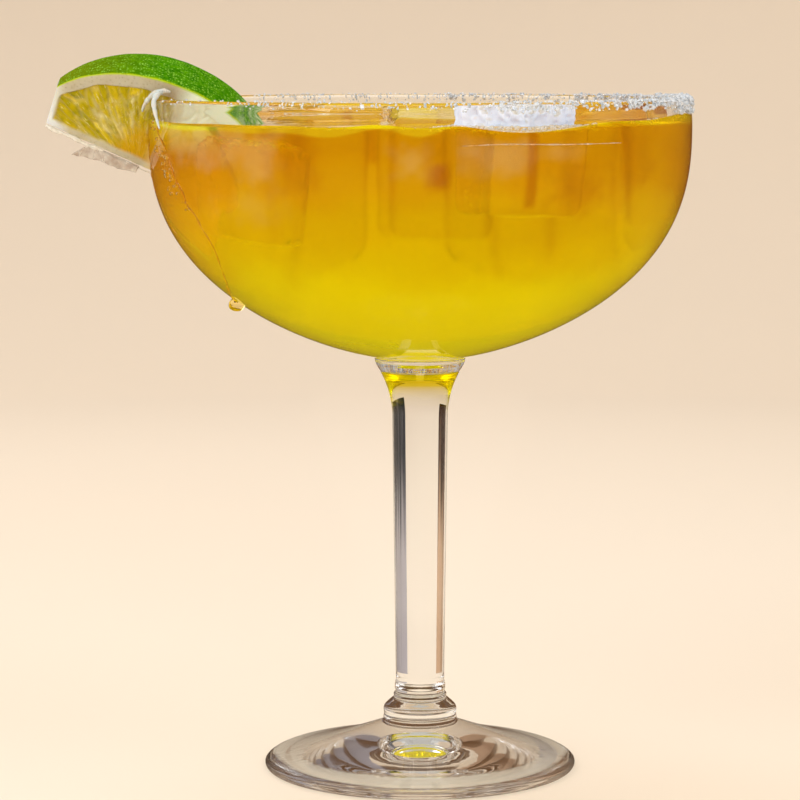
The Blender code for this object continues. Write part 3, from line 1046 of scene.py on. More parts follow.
@dataclass
class SaltRim:
    """Coarse salt on the rim, crusted at one side and thin towards the lime."""

    shape: CoupeShape
    zones: Tuple[SaltZone, ...] = (
        SaltZone(0.0, 23.0, 2100, 0.42, 0.55, 2.0),
        SaltZone(23.0, 52.0, 1300, 0.34, 0.30, 0.9),
        SaltZone(52.0, 84.0, 620, 0.33, 0.20, 0.9),
        SaltZone(84.0, 132.0, 520, 0.26, 0.10, 0.8),
        SaltZone(132.0, 158.0, 70, 0.24, 0.08, 0.6),
    )

    def build(self, finish: Material) -> None:
        """Scatters the crystals, all in one mesh.

        Args:
            finish: salt.
        """
        draw = np.random.default_rng(23)
        centres, sizes = [], []
        for zone in self.zones:
            count = zone.grains
            spread = draw.uniform(zone.start, zone.stop, count) * draw.choice((-1.0, 1.0), count)
            bearing = 90.0 + spread
            clump = soft_noise(rows_of(bearing / 3.1, np.ones(count)), 1.0, 4.0)
            climb = draw.beta(1.6, 1.6, count) * 200.0 - 10.0
            lift = draw.uniform(0.0, 1.0, count) ** 2.2 * zone.layers * (1.0 + 0.5 * clump)
            reach = self.shape.rim_round + 0.08 + lift
            turn = np.radians(climb)
            radius = self.shape.rim_centre() + reach * np.cos(turn)
            height = self.shape.rim_height - self.shape.rim_round + reach * np.sin(turn)
            below = draw.random(count) < 0.24
            outer = draw.random(count) < 0.72
            down = self.shape.rim_height - 0.8 - draw.random(count) ** 1.7 * zone.drop
            wall = np.where(outer, self.shape.radius_at(down) + 0.12 + 0.4 * lift,
                            self.shape.inside(down) - 0.12)
            radius = np.where(below, wall, radius)
            height = np.where(below, down, height)
            keep = clump + draw.uniform(-1.0, 1.4, count) > -0.35
            centres.append(round_axis(bearing, radius, height)[keep])
            sizes.append((zone.size * draw.lognormal(0.0, 0.34, count))[keep])
        centres, sizes = np.concatenate(centres), np.clip(np.concatenate(sizes), 0.16, 0.95)
        count = len(sizes)
        stretch = draw.uniform(0.72, 1.2, (count, 3)) * sizes[:, None]
        matrices = random_turns(draw, count) * stretch[:, None, :]
        points, faces = many(self._crystal(), matrices, centres)
        points += draw.normal(0.0, 0.025, points.shape)
        piece = make_piece("salt_crystals", points, faces, finish)
        piece.data.polygons.foreach_set("use_smooth", [False] * len(piece.data.polygons))

    @staticmethod
    def _crystal() -> Form:
        """A cube of side 1 with one corner broken off.

        Returns:
            Its points and faces.
        """
        work = bmesh.new()
        bmesh.ops.create_cube(work, size=1.0)
        cut = work.verts[:] + work.edges[:] + work.faces[:]
        made = bmesh.ops.bisect_plane(work, geom=cut, plane_co=(0.31, 0.31, 0.31),
                                      plane_no=(1.0, 0.8, 1.2), clear_outer=True)
        rim = [item for item in made["geom_cut"] if isinstance(item, bmesh.types.BMEdge)]
        bmesh.ops.contextual_create(work, geom=rim)
        work.verts.index_update()
        points = np.array([vert.co[:] for vert in work.verts])
        faces = [[vert.index for vert in face.verts] for face in work.faces]
        work.free()
        return points, faces


# Ice and drink
class IceFace(IntEnum):
    """Which finish a face of the ice has."""

    SUNK = 0
    DRY = 1


class IceLook(Enum):
    """How clear a cube is."""

    CLEAR = "clear"
    FROSTED = "frosted"
    COATED = "coated with the drink"


@dataclass(frozen=True)
class IceCube:
    """One tapered, melted cube. Its turn and lean are in degrees."""

    name: str
    side: float
    height: float
    x: float
    y: float
    z: float
    turn: float
    lean: float
    node: Optional[str] = None
    look: IceLook = IceLook.CLEAR
    cloud: float = 0.0
    rounding: float = 2.4
    taper: float = 0.93
    steps: int = 44

    def local(self) -> Form:
        """A rounded, slightly melted cube about its own centre.

        Returns:
            Its points in mm and its faces.
        """
        half = np.array([self.side, self.side, self.height]) / 2
        line = np.sin(np.linspace(-1.0, 1.0, self.steps) * math.pi / 2 * 0.82)
        line /= line[-1]
        u, v = (part.ravel() for part in np.meshgrid(line, line, indexing="ij"))
        one = np.ones_like(u)
        points, faces = [], []
        for axis in range(3):
            for sign in (-1.0, 1.0):
                parts = [None, None, None]
                parts[axis] = sign * one
                parts[(axis + 1) % 3] = u
                parts[(axis + 2) % 3] = v
                faces += grid_faces(self.steps, self.steps, start=len(points) * self.steps ** 2)
                points.append(rows_of(*parts))
        points = np.concatenate(points) * half
        core = np.clip(points, self.rounding - half, half - self.rounding)
        out = points - core
        out /= np.linalg.norm(out, axis=1)[:, None]
        points = core + self.rounding * out
        melt = soft_noise(points, 6.0, self.x) * 0.22 + soft_noise(points, 2.6, self.y) * 0.07
        if self.look is IceLook.FROSTED:
            chips = np.abs(soft_noise(points, 1.7, self.z)) + 0.5 * np.abs(
                soft_noise(points, 0.8, self.x))
            melt = melt + 1.5 * chips * smoothstep(5.5, 7.5, points[:, 2])
        points -= out * (0.15 + melt)[:, None]
        share = 0.5 - points[:, 2] / self.height
        points[:, :2] *= (1.0 - (1.0 - self.taper) * share)[:, None]
        return points, faces

    def edge_mask(self) -> Array:
        """How close each point is to one of the cube's upright edges, from 0 to 1."""
        near = np.min(np.abs(self.local()[0][:, :2]), axis=1) / (self.side / 2)
        return smoothstep(0.72, 0.9, near)

    def cloud_mask(self, points: Array) -> Array:
        """How white the ice is, from 0 to 1, at each of its points about the axis."""
        deep = self.z + self.height / 2 - points[:, 2] - 2.0 * soft_noise(points, 4.0, 9.0)
        return self.cloud * smoothstep(9.0, 2.0, deep)

    def placed(self) -> Form:
        """Puts the cube in its place.

        Returns:
            Its points in mm about the glass's axis, and its faces.
        """
        points, faces = self.local()
        lean = math.radians(self.lean)
        turn = Euler((lean, 0.6 * lean, math.radians(self.turn))).to_matrix()
        return points @ np.array(turn).T + (self.x, self.y, self.z), faces

    def distance(self, x: Array, y: Array) -> Array:
        """Distance from the cube's sides in plan.

        Args:
            x: places in mm.
            y: places in mm.

        Returns:
            Distances in mm, below 0 inside the cube.
        """
        turn = math.radians(self.turn)
        dx, dy = x - self.x, y - self.y
        a = np.abs(dx * math.cos(turn) + dy * math.sin(turn)) - self.side / 2 + self.rounding
        b = np.abs(dy * math.cos(turn) - dx * math.sin(turn)) - self.side / 2 + self.rounding
        outside = np.hypot(np.maximum(a, 0.0), np.maximum(b, 0.0))
        return outside + np.minimum(np.maximum(a, b), 0.0) - self.rounding


CUBES = (
    IceCube("ice_front", 20.0, 21.5, 19.2, -34.2, 137.5, 52.0, 2.0, "ice_cube_1", IceLook.FROSTED,
            0.5),
    IceCube("ice_right", 21.0, 21.0, 43.0, 4.5, 136.4, 12.0, -3.0, "ice_cube_2", IceLook.COATED),
    IceCube("ice_middle", 20.5, 21.0, 3.2, -12.4, 135.0, 5.0, 2.5, "ice_cube_3"),
    IceCube("ice_left", 21.0, 20.5, -21.0, 20.0, 134.6, 31.0, -2.0, "ice_cube_4"),
    IceCube("ice_back", 20.5, 21.0, 15.5, 24.0, 135.4, -22.0, 3.0, "ice_cube_5"),
)
SUNK_CUBES = (
    IceCube("ice_sunk", 19.0, 18.5, -31.0, -21.5, 131.8, 14.0, 5.0, look=IceLook.FROSTED, cloud=0.8),
)


@dataclass(frozen=True)
class Patch:
    """A place on the drink's wall where the ice behind it is painted: paler with painted light, darker
    with painted shade.
    """

    bearing: float
    height: float
    half_bearing: float
    half_height: float
    strength: float
    softness: float = 0.5

    def share(self, bearing: Array, height: Array, uneven: Array) -> Array:
        """How strongly the patch shows at each place.

        Args:
            bearing: angles in degrees.
            height: heights in mm.
            uneven: noise that frays the patch's border.

        Returns:
            Shares from 0 to its strength.
        """
        across = np.abs(bearing - self.bearing) / self.half_bearing
        up = np.abs(height - self.height) / self.half_height
        off = (across ** 4 + up ** 4) ** 0.25 - self.softness * uneven
        return self.strength * smoothstep(1.0 + self.softness / 2, 1.0 - self.softness, off)


PAINTED_LIGHT_PATCHES = (
    Patch(-50.0, 139.4, 13.0, 4.0, 0.75, 1.1),
    Patch(-35.0, 137.6, 5.2, 4.6, 0.62, 0.7),
    Patch(-38.0, 128.0, 9.0, 3.0, 0.2, 1.2),
    Patch(-1.5, 136.6, 4.0, 3.4, 0.5, 1.0),
    Patch(16.5, 137.9, 6.5, 3.0, 0.62, 0.9),
    Patch(29.0, 138.9, 5.0, 1.4, 0.35, 1.1),
)
PAINTED_SHADE_PATCHES = (
    Patch(-24.5, 137.0, 5.0, 7.5, 0.40, 0.4),
    Patch(-9.5, 140.2, 0.8, 4.0, 0.55, 0.2),
    Patch(3.8, 134.4, 2.2, 2.9, 0.95, 0.8),
    Patch(2.9, 136.5, 2.6, 6.5, 0.30, 0.2),
    Patch(23.0, 136.0, 0.9, 8.5, 0.75, 0.1),
    Patch(34.0, 132.0, 7.0, 4.0, 0.45, 0.9),
    Patch(50.0, 137.0, 6.0, 8.0, 0.30, 0.6),
)


@dataclass(frozen=True)
class Swell:
    """A rise or dip of the drink's edge on the wall, at a bearing in degrees."""

    bearing: float
    width: float
    height: float


@dataclass
class Drink:
    """The liquid, which reaches just into the glass's wall."""

    shape: CoupeShape
    cubes: Tuple[IceCube, ...]
    level: float = 143.4
    brim_lift: float = 0.2
    edge_lift: float = 1.15
    edge_dips: Tuple[Swell, ...] = (Swell(21.0, 13.0, -1.35), Swell(72.0, 15.0, 1.3))
    overlap: float = 0.12
    ice_rise: float = 0.55
    slab_depth: float = 3.0
    rings: int = 70
    steps: int = 320
    swells: Tuple[Swell, ...] = (
        Swell(-56.0, 12.0, -0.8), Swell(-36.0, 8.0, -0.9), Swell(-19.0, 8.0, -1.6),
        Swell(-9.0, 4.5, 0.5), Swell(0.0, 5.0, -1.5), Swell(8.0, 5.0, 0.9),
        Swell(24.0, 10.0, -0.6), Swell(44.0, 9.0, 1.1), Swell(66.0, 12.0, 0.4),
        Swell(112.0, 14.0, -0.5), Swell(148.0, 12.0, 0.5), Swell(-172.0, 13.0, -0.6),
        Swell(-140.0, 12.0, 0.5),
    )

    def sway(self, bearing: Array) -> Array:
        """How far the drink has swayed up or down at the wall, in mm."""
        return self._sum(self.swells, bearing)

    @staticmethod
    def _sum(swells: Tuple[Swell, ...], bearing: Array) -> Array:
        """Adds up a row of swells.

        Args:
            swells: rises and dips.
            bearing: angles in degrees.

        Returns:
            Rises in mm.
        """
        rise = np.zeros(np.shape(bearing))
        for swell in swells:
            off = (np.asarray(bearing) - swell.bearing + 180.0) % 360.0 - 180.0
            rise = rise + swell.height * np.exp(-(off / swell.width) ** 2)
        return rise

    def edge_height(self, bearing: Array) -> Array:
        """Height of the drink's upper line on the wall, where it clings to the glass."""
        dips = self._sum(self.edge_dips, bearing)
        return self.level + self.edge_lift + 0.35 * self.sway(bearing) + dips

    def brim_height(self, bearing: Array) -> Array:
        """Height under which the drink at the wall is as deep in colour as the rest; above it the wall has
        a painted highlight.
        """
        return self.level + self.brim_lift + self.sway(bearing)

    def surface(self, x: Array, y: Array) -> Array:
        """Height of the drink's top.

        Args:
            x: places in mm about the axis.
            y: places in mm about the axis.

        Returns:
            Heights in mm.
        """
        radius = np.hypot(x, y)
        bearing = np.degrees(np.arctan2(x, -y))
        edge = self.edge_height(bearing)
        off = np.maximum(self.shape.inside(edge) - radius, 0.0)
        flat = rows_of(x, y)
        height = self.level + 0.08 * soft_noise(flat, 9.0, 2.0) + 0.02 * soft_noise(flat, 4.0, 5.0)
        height = height + (edge - height) * np.exp(-(off / 3.2) ** 1.3)
        near = np.min([cube.distance(x, y) for cube in self.cubes], axis=0)
        pull = np.exp(-np.maximum(near, 0.0) / 1.1)
        return height + (self.level + self.ice_rise - height) * pull

    def build(self, finish: Material, cutters: Sequence[Object]) -> None:
        """Makes the drink, open where the ice passes through its top.

        Args:
            finish: the drink's material.
            cutters: the ice that breaks the surface.
        """
        bearing = np.linspace(0.0, 360.0, self.steps, endpoint=False)
        edge = self.edge_height(bearing)
        rim = self.shape.inside(edge) + self.overlap
        share = 1.0 - (1.0 - np.linspace(0.0, 1.0, self.rings)[1:, None]) ** 1.35
        flat = round_axis(bearing, rim * share, 0.0)
        flat[..., 2] = self.surface(flat[..., 0], flat[..., 1])
        flat[-1, :, 2] = edge
        pole = self.surface(np.zeros(1), np.zeros(1))[0]
        under = flat[[-1]].copy()
        bottom = self.level - self.slab_depth
        under[..., 2] = bottom
        rows = np.concatenate([flat, under])
        points = np.concatenate([rows.reshape(-1, 3), [(0, 0, pole), (0, 0, bottom)]])
        faces = grid_faces(self.rings, self.steps, closed=True)
        top = (self.rings - 2) * self.steps
        parts = [0] * top + [1] * self.steps
        last = (self.rings - 1) * self.steps
        count = self.rings * self.steps
        for i in range(self.steps):
            j = (i + 1) % self.steps
            faces += [[count, j, i], [count + 1, last + i, last + j]]
            parts += [0, 1]
        slab = make_piece("drink", points, faces, finish, finish, finish, parts=np.array(parts))
        self._cut(slab, cutters)
        self._add_wall(slab, bearing, edge, rim)
        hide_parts("drink")

    def _cut(self, slab: Object, cutters: Sequence[Object]) -> None:
        """Opens the slab's top where the ice stands and drops its sides and bottom.

        Args:
            slab: the drink's top layer as a closed block.
            cutters: the ice that breaks the surface.
        """
        work = bmesh.new()
        for cutter in cutters:
            work.from_mesh(cutter.data)
        for face in work.faces:
            face.material_index = 2
        mesh = bpy.data.meshes.new("cut")
        work.to_mesh(mesh)
        work.free()
        for slot in slab.data.materials:
            mesh.materials.append(slot)
        tool = bpy.data.objects.new("cut", mesh)
        bpy.context.scene.collection.objects.link(tool)
        step = slab.modifiers.new("room for the ice", "BOOLEAN")
        step.operation = "DIFFERENCE"
        step.solver = "EXACT"
        step.object = tool
        bpy.context.view_layer.update()
        shown = slab.evaluated_get(bpy.context.evaluated_depsgraph_get())
        cut = bpy.data.meshes.new_from_object(shown)
        slab.modifiers.clear()
        bpy.data.objects.remove(tool)
        work = bmesh.new()
        work.from_mesh(cut)
        drop = [face for face in work.faces if face.material_index != 0]
        bmesh.ops.delete(work, geom=drop, context="FACES")
        work.to_mesh(slab.data)
        work.free()
        bpy.data.meshes.remove(cut)

    def _add_wall(self, slab: Object, bearing: Array, edge: Array, rim: Array) -> None:
        """Adds the drink's side and bottom, inside the glass's wall.

        Args:
            slab: the drink's top.
            bearing: bearing of each point of its edge.
            edge: height of each point.
            rim: radius of each point.
        """
        quarter = math.pi / 2
        angle = np.linspace(quarter, 0.28, 96)
        fine = np.linspace(0.0, quarter, 400)
        run = self.shape.bowl_run(self.shape.wall - self.overlap,
                                  self.shape.bottom_wall - self.overlap, quarter, len(fine))
        heights = np.interp(angle, fine, run[:, 1])
        radii = np.interp(angle, fine, run[:, 0])
        rings = [round_axis(bearing, radius, height)
                 for radius, height in zip(radii[1:], heights[1:])]
        reach = 1.0 - (1.0 - np.linspace(0.0, 1.0, 34)[1:, None]) ** 1.8
        climb = heights[-1] + (edge - heights[-1]) * reach
        rings += list(round_axis(bearing, self.shape.inside(climb) + self.overlap, climb))
        rings[-1] = round_axis(bearing, rim, edge)
        points = np.concatenate(rings + [[(0.0, 0.0, heights[0])]])
        faces = grid_faces(len(rings), self.steps, closed=True)
        faces += [[len(points) - 1, (i + 1) % self.steps, i] for i in range(self.steps)]
        wall = bpy.data.meshes.new("wall")
        wall.from_pydata(to_row(points).tolist(), [], faces)
        work = bmesh.new()
        work.from_mesh(slab.data)
        work.from_mesh(wall)
        bmesh.ops.remove_doubles(work, verts=work.verts[:], dist=1e-6)
        bmesh.ops.recalc_face_normals(work, faces=work.faces[:])
        for face in work.faces:
            face.smooth = True
            face.material_index = 0
        work.to_mesh(slab.data)
        work.free()
        bpy.data.meshes.remove(wall)
        self._mark(slab.data)
        while len(slab.data.materials) > 1:
            slab.data.materials.pop()

    def _mark(self, mesh: Mesh) -> None:
        """Keeps masks for the wall, its brim with a painted highlight, and the painted light and shade
        where ice lies behind it.

        Args:
            mesh: the drink's mesh.
        """
        spots = np.zeros(len(mesh.vertices) * 3)
        mesh.vertices.foreach_get("co", spots)
        spots = spots.reshape(-1, 3) / MM - (AXIS_X, 0.0, 0.0)
        x, y, z = spots.T
        bearing = np.degrees(np.arctan2(x, -y))
        wall = (z < self.level - 2.0) | (np.hypot(x, y) > self.shape.inside(z) - 0.02)
        # The brim mask carries a painted highlight above the brim's height, and on the top close to the
        # wall.
        brim = self.brim_height(bearing)
        brim = smoothstep(-0.25, 0.35, z - brim) * wall
        off = self.shape.inside(self.edge_height(bearing)) - np.hypot(x, y)
        brim = np.where(wall, brim, smoothstep(1.6, 0.4, off))
        uneven = 0.6 * soft_noise(spots, 4.0, 11.0) + 0.45 * soft_noise(spots, 1.6, 12.0)
        masks = {"wall": wall, "brim": brim}
        # Painted light and painted shade of the ice behind the wall, kept as masks.
        for name, patches in (("near_ice", PAINTED_LIGHT_PATCHES), ("deep", PAINTED_SHADE_PATCHES)):
            found = np.zeros(len(z))
            for patch in patches:
                found = np.maximum(found, patch.share(bearing, z, uneven))
            masks[name] = found * wall
        keep_masks(mesh, masks)


@dataclass
class Ice:
    """The cubes, wholly sunk and showing, parted at the drink's line."""

    line: float = 143.95

    def build(self, finishes: dict) -> list:
        """Makes the cubes.

        Args:
            finishes: for each look, the finish below the drink's surface and above it.

        Returns:
            The cubes that break the surface.
        """
        made = []
        for cube in CUBES + SUNK_CUBES:
            points, faces = cube.placed()
            masks = {"edge": cube.edge_mask(), "cloud": cube.cloud_mask(points)}
            piece = make_piece(cube.name, points, faces, *finishes[cube.look], masks=masks,
                               tidy=0.002)
            self._part_at_line(piece)
            if cube.node:
                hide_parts(cube.node)
                made.append(piece)
            LOG.info("ice cube %s", cube.name)
        return made

    def _part_at_line(self, piece: Object) -> None:
        """Cuts a cube's faces at the drink's line and gives those above it the dry finish.

        Args:
            piece: the cube.
        """
        work = bmesh.new()
        work.from_mesh(piece.data)
        line = self.line * MM
        bmesh.ops.bisect_plane(work, geom=work.verts[:] + work.edges[:] + work.faces[:],
                               plane_co=(0.0, 0.0, line), plane_no=(0.0, 0.0, 1.0))
        for face in work.faces:
            above = face.calc_center_median().z > line
            face.material_index = IceFace.DRY if above else IceFace.SUNK
        work.to_mesh(piece.data)
        work.free()


def small_bubbles(centres: Array, radii: Array) -> Form:
    """The points and faces of a bubble round each centre, in mm."""
    return many(ball(8, 12), np.eye(3)[None] * radii[:, None, None], centres)


@dataclass
class Bubbles:
    """Small round bubbles that float along the drink's edge and round the front cube."""

    shape: CoupeShape
    drink: Drink
    along_edge: int = 900
    round_cube: int = 420

    def build(self, finish: Material) -> None:
        """Makes the bubbles.

        Args:
            finish: their material.
        """
        draw = np.random.default_rng(41)
        bearing = draw.uniform(-180.0, 180.0, self.along_edge)
        favour = np.exp(-((bearing - 24.0) / 20.0) ** 2) + 0.12
        behind = (bearing + 345.0) % 360.0 - 180.0
        far = np.exp(-((behind - 4.0) / 24.0) ** 2)
        favour += 1.5 * far + 0.7 * np.exp(-((bearing - 60.0) / 22.0) ** 2)
        favour *= 0.5 + soft_noise(bearing[:, None], 4.0, 3.0)
        keep = draw.random(self.along_edge) < favour
        bearing, far = bearing[keep], far[keep]
        radii = np.clip(draw.lognormal(-1.25, 0.4, len(bearing)), 0.14, 0.6) * (1.0 + 0.8 * far)
        edge = self.drink.edge_height(bearing)
        radius = self.shape.inside(edge) - radii - draw.random(len(bearing)) ** 2 * 2.2
        spots = round_axis(bearing, radius, edge)
        cube = CUBES[0]
        turn = draw.uniform(0.0, 360.0, self.round_cube)
        reach = cube.side / 2 * np.array([1.0 / max(abs(math.cos(t)), abs(math.sin(t)))
                                          for t in np.radians(turn)])
        reach += 0.3 + draw.random(self.round_cube) ** 2 * 2.4
        turn = np.radians(turn + cube.turn)
        beside = rows_of(cube.x + reach * np.cos(turn), cube.y + reach * np.sin(turn), 0.0 * turn)
        beside = beside[np.hypot(beside[:, 0], beside[:, 1]) < self.shape.inside(edge.mean()) - 0.6]
        extra = np.clip(draw.lognormal(-1.2, 0.4, len(beside)), 0.15, 0.62)
        spots, radii = np.concatenate([spots, beside]), np.concatenate([radii, extra])
        spots[:, 2] = self.drink.surface(spots[:, 0], spots[:, 1]) - 0.25 * radii
        points, faces = small_bubbles(spots, radii)
        piece = make_piece("edge_bubbles", points, faces, finish)


# The lime
class LimeFace(IntEnum):
    """Which finish a face of the lime has."""

    RIND = 0
    FLESH = 1


@dataclass
class LimeWedge:
    """A wedge of lime pushed over the rim, cut end to end."""

    radius: float = 25.0
    half_length: float = 29.1
    end_cut: float = 25.3
    end_lean: float = 0.113
    half_angle: float = 39.0
    tilt: float = 24.5
    turn: float = 5.5
    centre: Point = (-58.9, 0.0, 133.1)
    pulp_half_length: float = 27.6
    pulp_radius: float = 21.3
    stations: int = 236
    streaks: int = 70
    face_columns: int = 92
    rind_columns: int = 72

    def to_axis(self, points: Array) -> Array:
        """The wedge's own coordinates, along, across and up, as mm about the axis."""
        frame = Euler((0.0, math.radians(self.tilt), math.radians(self.turn))).to_matrix()
        return np.asarray(points) @ np.array(frame).T + self.centre

    def _sacs(self, along: Array, out: Array, seed: float) -> Tuple:
        """The pattern of juice sacs, which fan out from the core.

        Args:
            along: places along the wedge.
            out: distances from the core.
            seed: another seed gives another face.

        Returns:
            Distance from the sacs' edges and a tone for each sac.
        """
        dx, dy = along + 2.0, out + 4.0
        turn = np.arctan2(dy, dx) * 10.5
        reach = np.hypot(dx, dy) / 6.8
        turn = turn + 0.22 * soft_noise(rows_of(along, out), 5.0, seed + 3)
        column = np.floor(turn)
        nearest = np.full(along.shape, 9.0)
        second = np.full(along.shape, 9.0)
        tone = np.zeros(along.shape)
        for i in (-1, 0, 1):
            shift = scatter(rows_of(column + i, np.zeros_like(column)), seed)
            row = np.floor(reach + shift)
            for j in (-1, 0, 1):
                cell = rows_of(column + i, row + j)
                cx = column + i + 0.5 + 0.5 * (scatter(cell, seed + 1) - 0.5)
                cy = row + j + 0.5 - shift + 0.5 * (scatter(cell, seed + 2) - 0.5)
                gap = np.hypot(turn - cx, (reach - cy) * 0.62)
                closer = gap < nearest
                second = np.where(closer, nearest, np.minimum(second, gap))
                tone = np.where(closer, scatter(cell, seed + 5), tone)
                nearest = np.where(closer, gap, nearest)
        return second - nearest, tone

    def _face_masks(self, along: Array, out: Array, seed: float) -> dict:
        """What a cut face is made of at each place, and how deep it lies.

        Args:
            along: places along the wedge.
            out: distances from the core.
            seed: another seed gives another face.

        Returns:
            An array for each mask of the flesh's material, and one named depth that
            says how far in each place lies, in mm.
        """
        flat = rows_of(along, out)
        oval = np.hypot(along / self.pulp_half_length, out / self.pulp_radius)
        off = (1.0 - oval) * self.pulp_radius + 0.35 * soft_noise(flat, 3.0, seed + 8)
        pulp = smoothstep(-0.1, 0.5, off) * smoothstep(1.3, 2.0, out + 0.2 * soft_noise(flat, 2.0, seed))
        limit = self.end_cut + self.end_lean * out * math.cos(math.radians(self.half_angle)) - 0.7
        pulp *= smoothstep(limit, limit - 0.8, np.abs(along))
        apart, tone = self._sacs(along, out, seed)
        groove = 1.0 - smoothstep(0.02, 0.24, apart)
        juicy = smoothstep(-12.0, -5.0, along + 0.35 * (6.0 - out)) * smoothstep(15.0, 7.0, out)
        angle = np.degrees(np.arctan2(out + 4.0, along + 2.0))
        far = np.hypot(along + 2.0, out + 4.0)
        draw = np.random.default_rng(int(seed))
        # Streaks are pale skins between the sacs and also a painted wet sheen.
        membrane_and_sheen = np.exp(-((angle - 139.0) / 3.0) ** 2) * smoothstep(11.5, 14.0, far)
        membrane_and_sheen *= smoothstep(21.0, 19.0, far)
        for _ in range(self.streaks):
            middle = draw.uniform(20.0, 164.0)
            near = draw.uniform(8.0, 20.0)
            end = near + draw.uniform(1.5, 5.0)
            width = draw.uniform(12.0, 30.0) / (near + 6.0)
            shape = np.exp(-((angle - middle) / width) ** 2) * draw.uniform(0.4, 1.0)
            shape *= smoothstep(near - 1.5, near, far) * smoothstep(end + 1.5, end, far)
            membrane_and_sheen = np.maximum(membrane_and_sheen, shape)
        membrane_and_sheen = np.clip(membrane_and_sheen * (0.8 + 0.6 * soft_noise(flat, 1.0, seed + 9)), 0.0, 1.0)
        relief = (0.30 * groove * (1.0 - 0.75 * juicy) - 0.16 * membrane_and_sheen
                  + 0.10 * soft_noise(flat, 1.6, seed + 4) * (1.0 - 0.6 * juicy))
        edge = self.radius * np.sqrt(np.clip(1.0 - (along / self.half_length) ** 2, 0, 1)) - out
        return {
            "pulp": pulp, "tone": np.clip(tone * 0.8 + 0.1 + 0.25 * soft_noise(flat, 0.9, seed + 6), 0, 1),
            "skin": np.clip((0.5 - 0.4 * juicy) * membrane_and_sheen + 0.2 * groove * (1.0 - juicy), 0.0, 1.0),
            "juicy": juicy, "rim": smoothstep(0.6, 0.1, edge),
            "fan": angle / 180.0, "far": far / 30.0,
            # Painted pale veil towards the inner end, behind the glass wall.
            "painted_veil": 0.92 * smoothstep(-4.0, 3.0, along),
            "depth": 0.4 * pulp + relief * pulp + 0.06 * soft_noise(flat, 1.4, seed + 7),
        }

    def build(self, rind: Material, flesh: Material) -> None:
        """Makes the wedge.

        Args:
            rind: the skin's material.
            flesh: the material of pith and juice sacs.
        """
        half = math.radians(self.half_angle)
        face = np.linspace(0.0, 1.0, self.face_columns)
        arc = np.linspace(-half, half, self.rind_columns)[1:-1]
        reach = np.concatenate([face, np.ones(len(arc)), face[::-1]])
        angle = np.concatenate([np.full(len(face), -half), arc, np.full(len(face), half)])
        side = np.concatenate([np.full(len(face), -1), np.zeros(len(arc)), np.ones(len(face))])
        station = np.sin(np.linspace(-1.0, 1.0, self.stations) * math.pi / 2 * 0.9)
        station = (station / station[-1])[:, None]
        along = station * self.end_cut * np.ones_like(reach)
        for _ in range(3):
            out = self.radius * np.sqrt(np.clip(1.0 - (along / self.half_length) ** 2, 0.0, 1.0))
            up = out * reach * np.cos(angle)
            along = station * (self.end_cut + self.end_lean * up)
        out = out * reach
        points = rows_of(along, out * np.sin(angle), out * np.cos(angle))
        masks = {}
        for sign, seed in ((-1, 1.0), (1, 31.0)):
            own = side == sign
            found = self._face_masks(along[:, own], out[:, own], seed)
            for key, values in found.items():
                masks.setdefault(key, np.zeros(along.shape))[:, own] = values
            inward = np.array([0.0, -sign * math.cos(half), math.sin(half)])
            points[:, own] += found["depth"][..., None] * inward
        skin = side == 0
        bumps = 0.16 * soft_noise(points[:, skin], 7.0, 2.0) + 0.05 * soft_noise(points[:, skin], 2.2, 3.0)
        outward = rows_of(0 * arc, np.sin(arc), np.cos(arc))
        points[:, skin] += (bumps - 0.1)[..., None] * outward
        columns = len(reach)
        faces = grid_faces(self.stations, columns, closed=True)
        first = len(face) - 1
        across = np.arange(columns)
        on_rind = (across >= first) & (across < first + len(arc) + 1)
        parts = np.tile(np.where(on_rind, LimeFace.RIND, LimeFace.FLESH), self.stations - 1).tolist()
        edge = np.minimum(np.abs(angle + half), np.abs(angle - half)) * self.radius
        masks["rim"][:, skin] = smoothstep(0.8, 0.0, edge[skin] + 0.3 * soft_noise(
            points[:, skin], 2.5, 6.0))
        # On the skin the painted pale veil starts further in.
        masks["painted_veil"][:, skin] = smoothstep(9.0, 19.0, along[:, skin])
        keep = {key: values.ravel() for key, values in masks.items() if key != "depth"}
        flat = points.reshape(-1, 3)
        flat, faces, parts, keep = self._close_ends(flat, faces, parts, keep, columns)
        piece = make_piece("lime_wedge_dressed", self.to_axis(flat), faces, rind, flesh,
                           parts=np.array(parts), masks=keep, tidy=0.001)
        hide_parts("lime_wedge")

